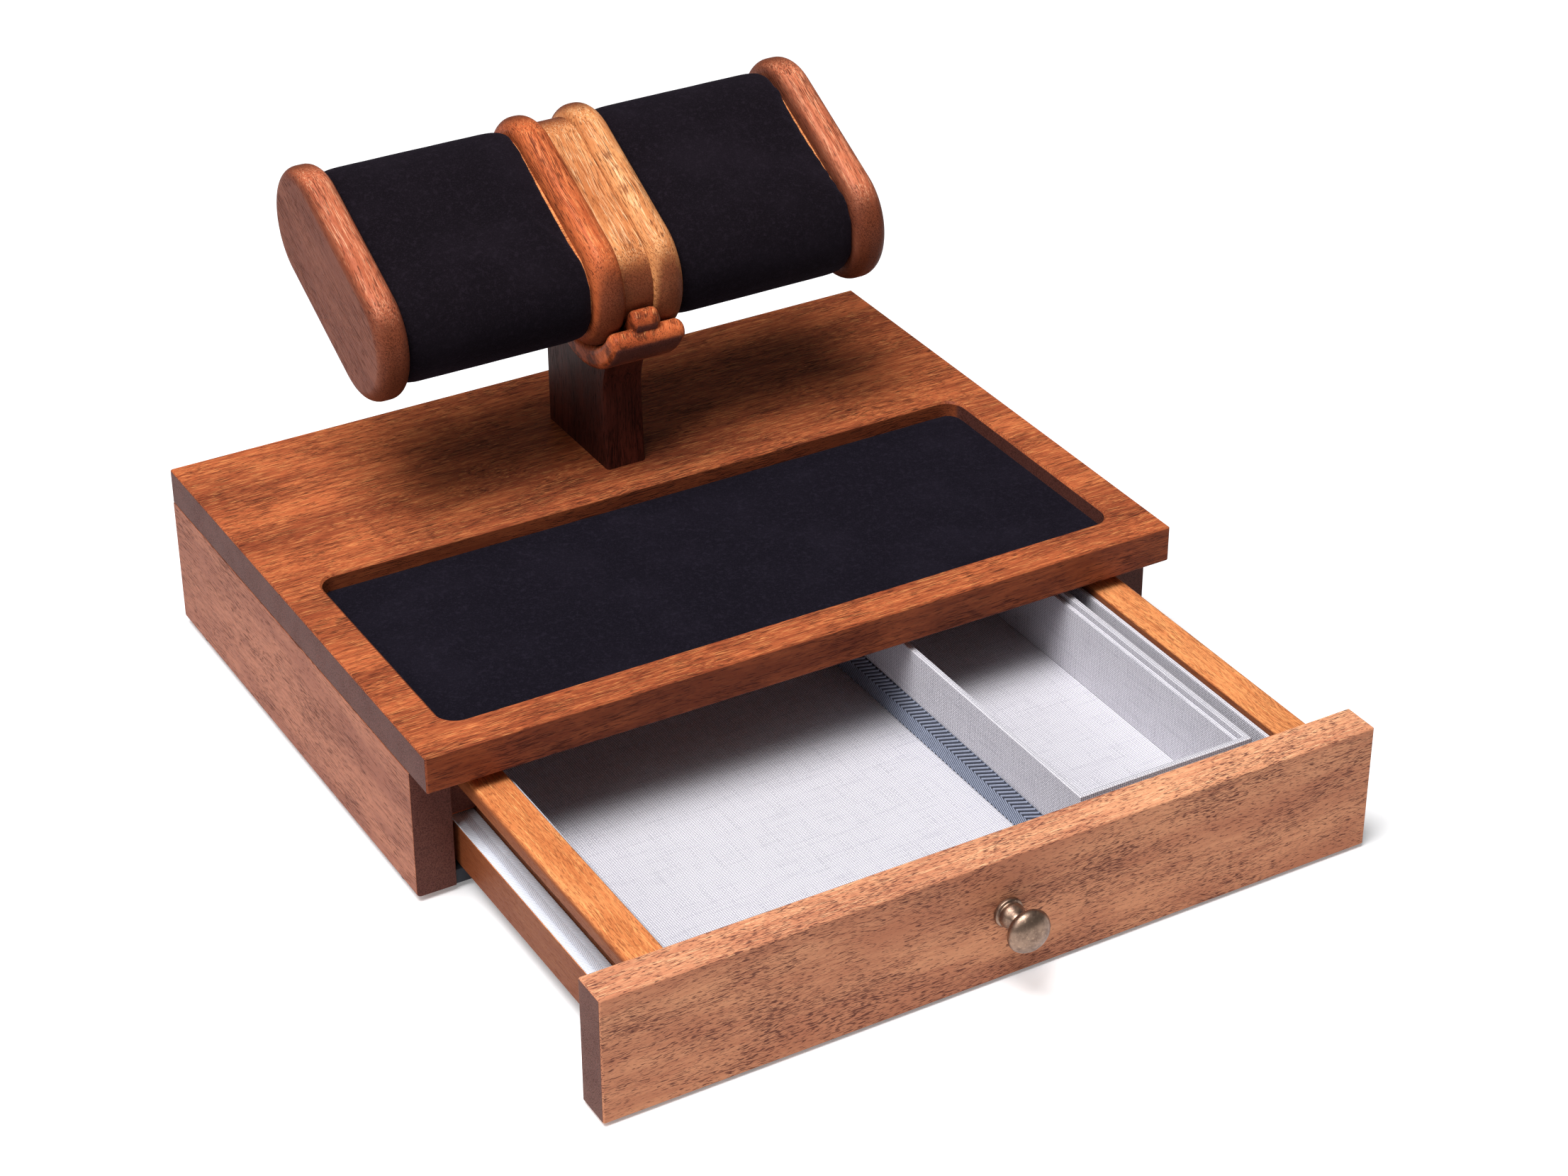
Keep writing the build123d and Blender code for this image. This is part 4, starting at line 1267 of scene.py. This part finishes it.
# ---- Post and cradle ------------------------------------------------------------------
@dataclass
class Stand:
    """The post and the cradle that the roll rests in."""

    section: OvalSection = field(default_factory=OvalSection)
    post_round: float = 0.7 * MM
    post_back: float = 66.6 * MM
    cradle_width: float = 26.0 * MM
    cradle_inner: float = 20.8 * MM
    cradle_outer: float = 28.4 * MM
    cradle_round: float = 3.5 * MM
    cradle_tip: float = 174.0
    tongue_width: float = 9.3 * MM
    tongue_inner: float = 17.3 * MM
    tongue_tip: float = 186.0
    tongue_round: float = 1.7 * MM

    def build(self) -> None:
        """Makes the post, the cradle and their hidden fasteners."""
        post_wood = WoodFinish("post wood", WoodTone.DARK, UPRIGHT, 0.42)
        board("post", post_wood, "case", self.post_round, 4)
        self.cradle()
        repainted("post_screws", SteelFinish("post screw steel"))
        tenon_wood = WoodFinish("cradle tenon wood", WoodTone.DRAWER)
        repainted("cradle_tenon", tenon_wood)

    def back_end(self, across: float) -> float:
        """Where the post's back plane cuts the section at this depth."""
        reach = self.post_back - self.section.centre_y + across * math.sin(self.section.tilt)
        return reach / math.cos(self.section.tilt)

    def crescent(self, x: float, inner: float, outer: float, tip: float) -> list[Vector]:
        """Outline of a band round the roll's lower side and front end.

        Args:
            x: where its plane lies.
            inner: inner radius.
            outer: outer radius.
            tip: how far round it reaches, in degrees.

        Returns:
            The outline's points.
        """
        section = self.section
        middle = (inner + outer) / 2
        half = (outer - inner) / 2
        steps = 44
        points = []

        def around(radius: float, degrees: float) -> Vector:
            """A point about the oval's front centre."""
            angle = math.radians(degrees)
            along = -section.half_spread + radius * math.cos(angle)
            return section.place(x, along, radius * math.sin(angle))

        for i in range(steps + 1):
            points.append(around(inner, -90.0 - (tip - 90.0) * i / steps))
        tip_angle = math.radians(-tip)
        for i in range(1, 10):
            turn = math.pi * i / 10
            radius = middle - half * math.cos(turn)
            beyond = half * math.sin(turn)
            along = radius * math.cos(tip_angle) + beyond * math.sin(tip_angle)
            across = radius * math.sin(tip_angle) - beyond * math.cos(tip_angle)
            points.append(section.place(x, along - section.half_spread, across))
        for i in range(steps + 1):
            points.append(around(outer, -tip + (tip - 90.0) * i / steps))
        for depth in (outer, inner):
            first, last = -section.half_spread, self.back_end(-depth)
            if depth == inner:
                first, last = last, first
            run = [section.place(x, first + (last - first) * i / 8, -depth) for i in range(9)]
            points.extend(run[1:] if depth == outer else run[:-1])
        return points

    def cradle(self) -> None:
        """The crescent and its middle tongue as one solid."""
        body = prism(
            "cradle_shown",
            self.crescent(
                -self.cradle_width / 2, self.cradle_inner, self.cradle_outer, self.cradle_tip
            ),
            Vector((self.cradle_width, 0.0, 0.0)),
            self.cradle_round,
            6,
        )
        middle = (self.cradle_inner + self.cradle_outer) / 2
        tongue = prism(
            "tongue",
            self.crescent(-self.tongue_width / 2, self.tongue_inner, middle, self.tongue_tip),
            Vector((self.tongue_width, 0.0, 0.0)),
            self.tongue_round,
            4,
        )
        union = body.modifiers.new("tongue", "BOOLEAN")
        union.operation = "UNION"
        union.solver = "EXACT"
        union.object = tongue
        baked(body)
        bpy.data.objects.remove(tongue)
        smoothed(body, 38.0)
        grain = (0.25, math.cos(self.section.tilt), math.sin(self.section.tilt))
        cradle_wood = WoodFinish("cradle wood", WoodTone.RED, grain, 0.83, 1.0, 0.85)
        dressed(body, cradle_wood, "case", ["cradle"])


# ---- The case -------------------------------------------------------------------------
@dataclass
class CaseCarcass:
    """Top board with its recess, sides, back, base, runners and feet."""

    edge_round: float = 0.22 * MM
    foot_radius: float = 5.0 * MM
    foot_height: float = 2.0 * MM
    lining_thickness: float = 1.0 * MM
    lining_radius: float = 6.3 * MM
    wave_scale: float = 42.0
    wave: float = 0.06 * MM
    sink: float = 0.08 * MM
    edge_roll: float = 0.35 * MM
    edge_reach: float = 1.2 * MM

    def build(self) -> None:
        """Makes every piece of the case."""
        top_wood = WoodFinish("top board wood", WoodTone.TOP, ALONG_X, 0.0, painted_flank_shade=0.38)
        self.panel("top_board", top_wood, "wood")
        for number, label in enumerate(("left", "right")):
            side_wood = WoodFinish(f"side wood {label}", WoodTone.SIDE, ALONG_Y, 0.23 + number)
            self.panel(f"side_panel_{label}", side_wood, "wood")
            strip_wood = WoodFinish(f"runner wood {label}", WoodTone.RED, ALONG_Y, 0.6 + number)
            repainted(f"runner_{label}", strip_wood)
        self.panel("back_panel", WoodFinish("back wood", WoodTone.SIDE, ALONG_X, 0.9), "wood")
        self.panel("base_panel", StainedBoardFinish("base board"), "dark_board")
        tenon_wood = WoodFinish("case tenon wood", WoodTone.DRAWER, UPRIGHT)
        repainted("case_tenons", tenon_wood)
        self.recess_suede()
        self.feet()

    def panel(self, node: str, finish: Finish, slot: str) -> None:
        """One board of the case."""
        board(node, finish, "case", self.edge_round)

    def recess_suede(self) -> None:
        """The suede sheet on the recess floor, with a soft nap surface."""
        low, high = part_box("recess_lining")
        low, high = Vector(low), Vector(high)
        centre = (low + high) / 2
        half = (high - low) / 2
        shape = bmesh.new()
        columns, rows = 120, 48
        corner = self.lining_radius
        grid: list[list[bmesh.types.BMVert]] = []
        for j in range(rows + 1):
            line = []
            for i in range(columns + 1):
                x = half.x * (2.0 * i / columns - 1.0)
                y = half.y * (2.0 * j / rows - 1.0)
                over_x = abs(x) - (half.x - corner)
                over_y = abs(y) - (half.y - corner)
                if over_x > 0.0 and over_y > 0.0:
                    reach = max(over_x, over_y)
                    length = math.hypot(over_x, over_y)
                    x = math.copysign(half.x - corner + over_x * reach / length, x)
                    y = math.copysign(half.y - corner + over_y * reach / length, y)
                edge = min(half.x - abs(x), half.y - abs(y))
                rise = noise.noise(Vector((x, y, 0.0)) * self.wave_scale) * self.wave - self.sink
                roll = self.edge_roll * max(0.0, 1.0 - edge / self.edge_reach) ** 2
                line.append(shape.verts.new((centre.x + x, centre.y + y, high.z + rise - roll)))
            grid.append(line)
        for j in range(rows):
            for i in range(columns):
                shape.faces.new((grid[j][i], grid[j][i + 1], grid[j + 1][i + 1], grid[j + 1][i]))
        sheet = from_bmesh("recess_suede", shape)
        thick = sheet.modifiers.new("thickness", "SOLIDIFY")
        thick.thickness = self.lining_thickness * 0.75
        thick.offset = -1.0
        baked(sheet)
        smoothed(sheet, 60.0)
        dressed(sheet, SuedeFinish("recess suede"), "case", ["recess_lining"])

    def feet(self) -> None:
        """Felt pads: four under the sides and one under the middle."""
        felt = FeltFinish("foot felt")
        low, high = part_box("feet")
        across = high[0] - low[0] - 2.0 * self.foot_radius
        along = high[1] - low[1] - 2.0 * self.foot_radius
        middle = Matrix.Translation((0.0, (low[1] + high[1]) / 2, 0.0))
        tree = pad_tree("felt pads", felt.build())
        corners = tree.mesh("foot_corners", middle, Across=across, Along=along)
        centre = tree.mesh("foot_middle", Matrix.Identity(4), Across=0.0, Along=0.0, Rows=1)
        feet = joined("felt_feet", [corners, centre])
        smoothed(feet, 50.0)
        dressed(feet, felt, "case", ["feet"])


# ---- The drawer -----------------------------------------------------------------------
@dataclass
class Knob:
    """Turned knob, as radius and distance from the drawer front, in millimetres."""

    profile: tuple[tuple[float, float], ...] = (
        (0.0, 0.0), (4.45, 0.0), (4.70, 0.25), (4.70, 1.05), (4.45, 1.35), (3.95, 1.50),
        (3.82, 1.75), (3.88, 2.10), (4.08, 2.45), (4.02, 3.00), (3.80, 3.70), (3.42, 4.45),
        (2.95, 5.15), (2.55, 5.75), (2.32, 6.30), (2.28, 6.85), (2.42, 7.35), (3.00, 7.70),
        (4.00, 8.05), (5.10, 8.55), (6.05, 9.20), (6.70, 9.95), (6.97, 10.70), (6.95, 11.35),
        (6.62, 12.15), (5.95, 13.00), (5.00, 13.75), (3.80, 14.35), (2.50, 14.74), (1.20, 14.94),
        (0.0, 15.0),
    )
    sides: int = 64

    def build(self) -> None:
        """Spins the profile."""
        low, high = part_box("knob")
        centre_x = (low[0] + high[0]) / 2
        centre_z = (low[2] + high[2]) / 2
        shape = bmesh.new()
        rows = []
        for radius, reach in self.profile:
            y = high[1] - reach * MM
            if radius == 0.0:
                rows.append([shape.verts.new((centre_x, y, centre_z))])
                continue
            ring = []
            for i in range(self.sides):
                angle = 2.0 * math.pi * i / self.sides
                across, up = radius * MM * math.cos(angle), radius * MM * math.sin(angle)
                ring.append(shape.verts.new((centre_x + across, y, centre_z + up)))
            rows.append(ring)
        for lower, upper in zip(rows, rows[1:]):
            for i in range(self.sides):
                j = (i + 1) % self.sides
                corners = [lower[k % len(lower)] for k in (i, j)]
                corners += [upper[k % len(upper)] for k in (j, i)]
                shape.faces.new(list(dict.fromkeys(corners)))
        bmesh.ops.recalc_face_normals(shape, faces=shape.faces)
        knob = smoothed(from_bmesh("knob_shown", shape), 40.0)
        dressed(knob, AgedBrassFinish("knob brass"), "drawer", ["knob"])
        repainted("knob_screw", SteelFinish("knob screw steel"))


@dataclass
class Drawer:
    """Drawer boards, linen lining, glide tapes and knob."""

    edge_round: float = 0.22 * MM
    soft_round: float = 0.15 * MM
    tape_columns: int = 3
    tape_pitch: float = 0.80 * MM
    tape_yarn: float = 0.20 * MM
    yarn_sink: float = 0.10 * MM
    band_sink: float = 0.05 * MM

    def build(self) -> None:
        """Makes every piece of the drawer."""
        self.boards()
        self.linings()
        self.tapes()
        Knob().build()

    def boards(self) -> None:
        """Front, sides, back and bottom."""
        front_wood = WoodFinish(
            "drawer front wood", WoodTone.FRONT, ALONG_X, 1.7, pores=1.2, painted_flank_shade=0.16,
            dash_length=0.12,
        )
        self.panel("drawer_front", front_wood, "wood")
        for number, label in enumerate(("left", "right")):
            side_wood = WoodFinish(
                f"drawer side wood {label}", WoodTone.DRAWER, ALONG_Y, 2.1 + number, pores=0.65,
                painted_flank_shade=0.84, dash_length=0.09,
            )
            self.panel(f"drawer_side_{label}", side_wood, "wood")
        back_wood = WoodFinish("drawer back wood", WoodTone.DRAWER, ALONG_X, 3.3)
        self.panel("drawer_back", back_wood, "wood")
        self.panel("drawer_bottom", StainedBoardFinish("drawer bottom board"), "dark_board")
        tenon_wood = WoodFinish("drawer tenon wood", WoodTone.DRAWER, ALONG_Y)
        repainted("drawer_tenons", tenon_wood)

    def panel(self, node: str, finish: Finish, slot: str) -> None:
        """One board of the drawer."""
        board(node, finish, "drawer", self.edge_round)

    def linings(self) -> None:
        """Linen-covered boards on the floor and the four walls."""
        walls = [f"wall_lining_{place}" for place in ("left", "right", "front", "back")]
        for node in ["floor_lining"] + walls:
            board(node, LinenFinish(f"{node} linen"), "drawer", self.soft_round)

    def tapes(self) -> None:
        """Herringbone tape on the ledge of each side's groove."""
        yarn = YarnFinish("glide tape yarn", (0.90, 0.93, 0.98), (0.76, 0.80, 0.88))
        # The band's darker colour paints the shade between the floats.
        painted_gap_shade = YarnFinish("glide tape ground", (0.58, 0.62, 0.72), (0.46, 0.50, 0.60))
        for label in ("left", "right"):
            node = f"glide_tape_{label}"
            low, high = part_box(node)
            low, high = Vector(low), Vector(high)
            tree = herringbone_tree(f"{node} floats", yarn.build())
            centre = (low + high) / 2
            lift = Matrix.Translation((centre.x, centre.y, high.z - self.yarn_sink))
            quarter = Matrix.Rotation(math.pi / 2, 4, "Z")
            floats = tree.mesh(
                f"{node}_floats", lift @ quarter, Length=high.y - low.y, Width=high.x - low.x,
                Columns=self.tape_columns, Pitch=self.tape_pitch, Yarn=self.tape_yarn,
            )
            band = softened_copy(node, f"{node}_band", self.soft_round * 0.5, 2)
            band.data.transform(Matrix.Translation((0.0, 0.0, -self.band_sink)))
            woven_tape(node, floats, band, yarn, painted_gap_shade, "drawer")


@dataclass
class Tray:
    """The loose linen tray with its inner frame and foot tapes."""

    soft_round: float = 0.18 * MM
    tape_columns: int = 2
    tape_pitch: float = 2.1 * MM
    tape_lean: float = 0.56
    tape_yarn: float = 0.35 * MM
    yarn_sink: float = 0.20 * MM
    band_sink: float = 0.05 * MM

    def build(self) -> None:
        """Makes every piece of the tray."""
        shell_linen = LinenFinish(
            "tray linen", light=(0.78, 0.755, 0.80), shade=(0.17, 0.17, 0.215)
        )
        for node, linen in (
            ("tray_shell", shell_linen),
            ("tray_wall_lining", LinenFinish("tray inner linen")),
            ("tray_floor_pad", LinenFinish("tray floor linen")),
        ):
            board(node, linen, "tray", self.soft_round)
        yarn = YarnFinish("tray tape yarn", (0.36, 0.40, 0.51), (0.22, 0.25, 0.34))
        # The band's darker colour paints the shade between the floats.
        painted_gap_shade = YarnFinish("tray tape ground", (0.030, 0.038, 0.065), (0.018, 0.022, 0.040))
        for side, label in ((-1.0, "left"), (1.0, "right")):
            self.tape(side, label, yarn, painted_gap_shade)

    def tape(self, side: float, label: str, yarn: YarnFinish, painted_gap_shade: YarnFinish) -> None:
        """Herringbone tape along the foot of one long wall.

        Args:
            side: 1 for the right one and -1 for the left one.
            label: its name in the pieces' names.
            yarn: finish of the raised yarns.
            painted_gap_shade: finish of the band under them, darker to paint the shade between
                them.
        """
        node = f"tray_tape_{label}"
        low, high = (Vector(corner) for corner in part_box(node))
        centre = (low + high) / 2
        outer = high.x if side > 0 else low.x
        tree = herringbone_tree(f"{node} floats", yarn.build())
        sunk = outer - side * self.yarn_sink
        stand = Matrix(
            ((0, 0, side, sunk), (1, 0, 0, centre.y), (0, 1, 0, centre.z), (0, 0, 0, 1))
        )
        floats = tree.mesh(
            f"{node}_floats", stand, Length=high.y - low.y, Width=high.z - low.z,
            Columns=self.tape_columns, Pitch=self.tape_pitch, Lean=self.tape_lean,
            Yarn=self.tape_yarn,
        )
        shape = bmesh.new()
        shape.from_mesh(floats.data)
        bmesh.ops.recalc_face_normals(shape, faces=shape.faces)
        shape.to_mesh(floats.data)
        shape.free()
        band = softened_copy(node, f"{node}_band", self.soft_round * 0.5, 2)
        band.data.transform(Matrix.Translation((-side * self.band_sink, 0.0, 0.0)))
        woven_tape(node, floats, band, yarn, painted_gap_shade, "tray")


# ---- The studio -----------------------------------------------------------------------
@dataclass
class Studio:
    """Camera, pale floor and soft light."""

    eye: Point = (-0.44977, -0.85583, 0.61082)
    right: Point = (0.864849, -0.502024, -0.002839)
    down: Point = (-0.262507, -0.447392, -0.854945)
    ahead: Point = (0.427933, 0.740143, -0.518711)
    focal_pixels: float = 4874.5
    photo_width: float = 2212.0
    sensor: float = 36.0
    table_glow: float = 0.22
    room_light: float = 0.11

    def build(self) -> None:
        """Sets up the whole studio."""
        self.camera()
        self.floor()
        self.lights()
        bpy.context.scene.view_settings.view_transform = "Standard"

    def camera(self) -> None:
        """The photograph's viewpoint."""
        data = bpy.data.cameras.new("camera")
        data.sensor_width = self.sensor
        data.lens = self.sensor * self.focal_pixels / self.photo_width
        data.clip_start = 0.05
        data.clip_end = 50.0
        camera = bpy.data.objects.new("camera", data)
        x, y, z = Vector(self.right), -Vector(self.down), -Vector(self.ahead)
        turn = Matrix((x, y, z)).transposed().to_4x4()
        camera.matrix_world = Matrix.Translation(self.eye) @ turn
        bpy.context.scene.collection.objects.link(camera)
        bpy.context.scene.camera = camera

    def floor(self) -> None:
        """A large pale table that keeps the shadow."""
        shape = bmesh.new()
        bmesh.ops.create_grid(shape, x_segments=1, y_segments=1, size=6.0)
        floor = from_bmesh("table", shape)
        graph = Graph("table white")
        rays = graph.node("ShaderNodeLightPath")
        seen = Wire(graph, rays.outputs["Is Camera Ray"])
        matt = graph.node("ShaderNodeBsdfDiffuse", None, {"Color": (0.88, 0.88, 0.89, 1.0)})
        shine = {"Color": (1.0, 1.0, 1.0, 1.0), "Strength": self.table_glow}
        glow = graph.node("ShaderNodeEmission", None, shine)
        both = graph.node("ShaderNodeAddShader")
        pick = graph.node("ShaderNodeMixShader", None, {0: seen})
        graph.tree.links.new(matt.outputs[0], both.inputs[0])
        graph.tree.links.new(glow.outputs[0], both.inputs[1])
        graph.tree.links.new(matt.outputs[0], pick.inputs[1])
        graph.tree.links.new(both.outputs[0], pick.inputs[2])
        graph.tree.links.new(pick.outputs[0], graph.output.inputs[0])
        floor.data.materials.append(graph.material)

    def lights(self) -> None:
        """A dim white room, a large soft box overhead and a smaller one at the left."""
        world = bpy.data.worlds.new("room")
        bpy.context.scene.world = world
        world.use_nodes = True
        tree = world.node_tree
        tree.nodes.clear()
        path = tree.nodes.new("ShaderNodeLightPath")
        strength = tree.nodes.new("ShaderNodeMapRange")
        strength.inputs["To Min"].default_value = self.room_light
        strength.inputs["To Max"].default_value = 1.0
        tree.links.new(path.outputs["Is Camera Ray"], strength.inputs["Value"])
        room = tree.nodes.new("ShaderNodeBackground")
        room.inputs["Color"].default_value = (1.0, 1.0, 1.0, 1.0)
        tree.links.new(strength.outputs["Result"], room.inputs["Strength"])
        out = tree.nodes.new("ShaderNodeOutputWorld")
        tree.links.new(room.outputs[0], out.inputs[0])
        self.soft_box("top box", (-0.62, -0.34, 2.10), (0.0, -0.05, 0.05), 1.25, 67.0)
        self.soft_box("left box", (-1.55, -0.55, 1.25), (0.0, -0.05, 0.06), 0.9, 6.5)

    def soft_box(self, name: str, place: Point, target: Point, size: float, power: float) -> None:
        """One square area lamp.

        Args:
            name: the lamp's name.
            place: where it hangs.
            target: where it points.
            size: its side.
            power: its watts.
        """
        data = bpy.data.lights.new(name, "AREA")
        data.size = size
        data.energy = power
        lamp = bpy.data.objects.new(name, data)
        lamp.location = place
        lamp.rotation_euler = (Vector(target) - Vector(place)).to_track_quat("-Z", "Y").to_euler()
        bpy.context.scene.collection.objects.link(lamp)


def main() -> None:
    """Builds the part, then the studio."""
    logging.basicConfig(level=logging.INFO, format="%(name)s %(message)s")
    builders: Iterable = (CaseCarcass(), Stand(), Drawer(), Tray(), WatchRoll(), Studio())
    for builder in builders:
        builder.build()
        LOG.info("%s done", type(builder).__name__)


if __name__ == "__main__":
    main()
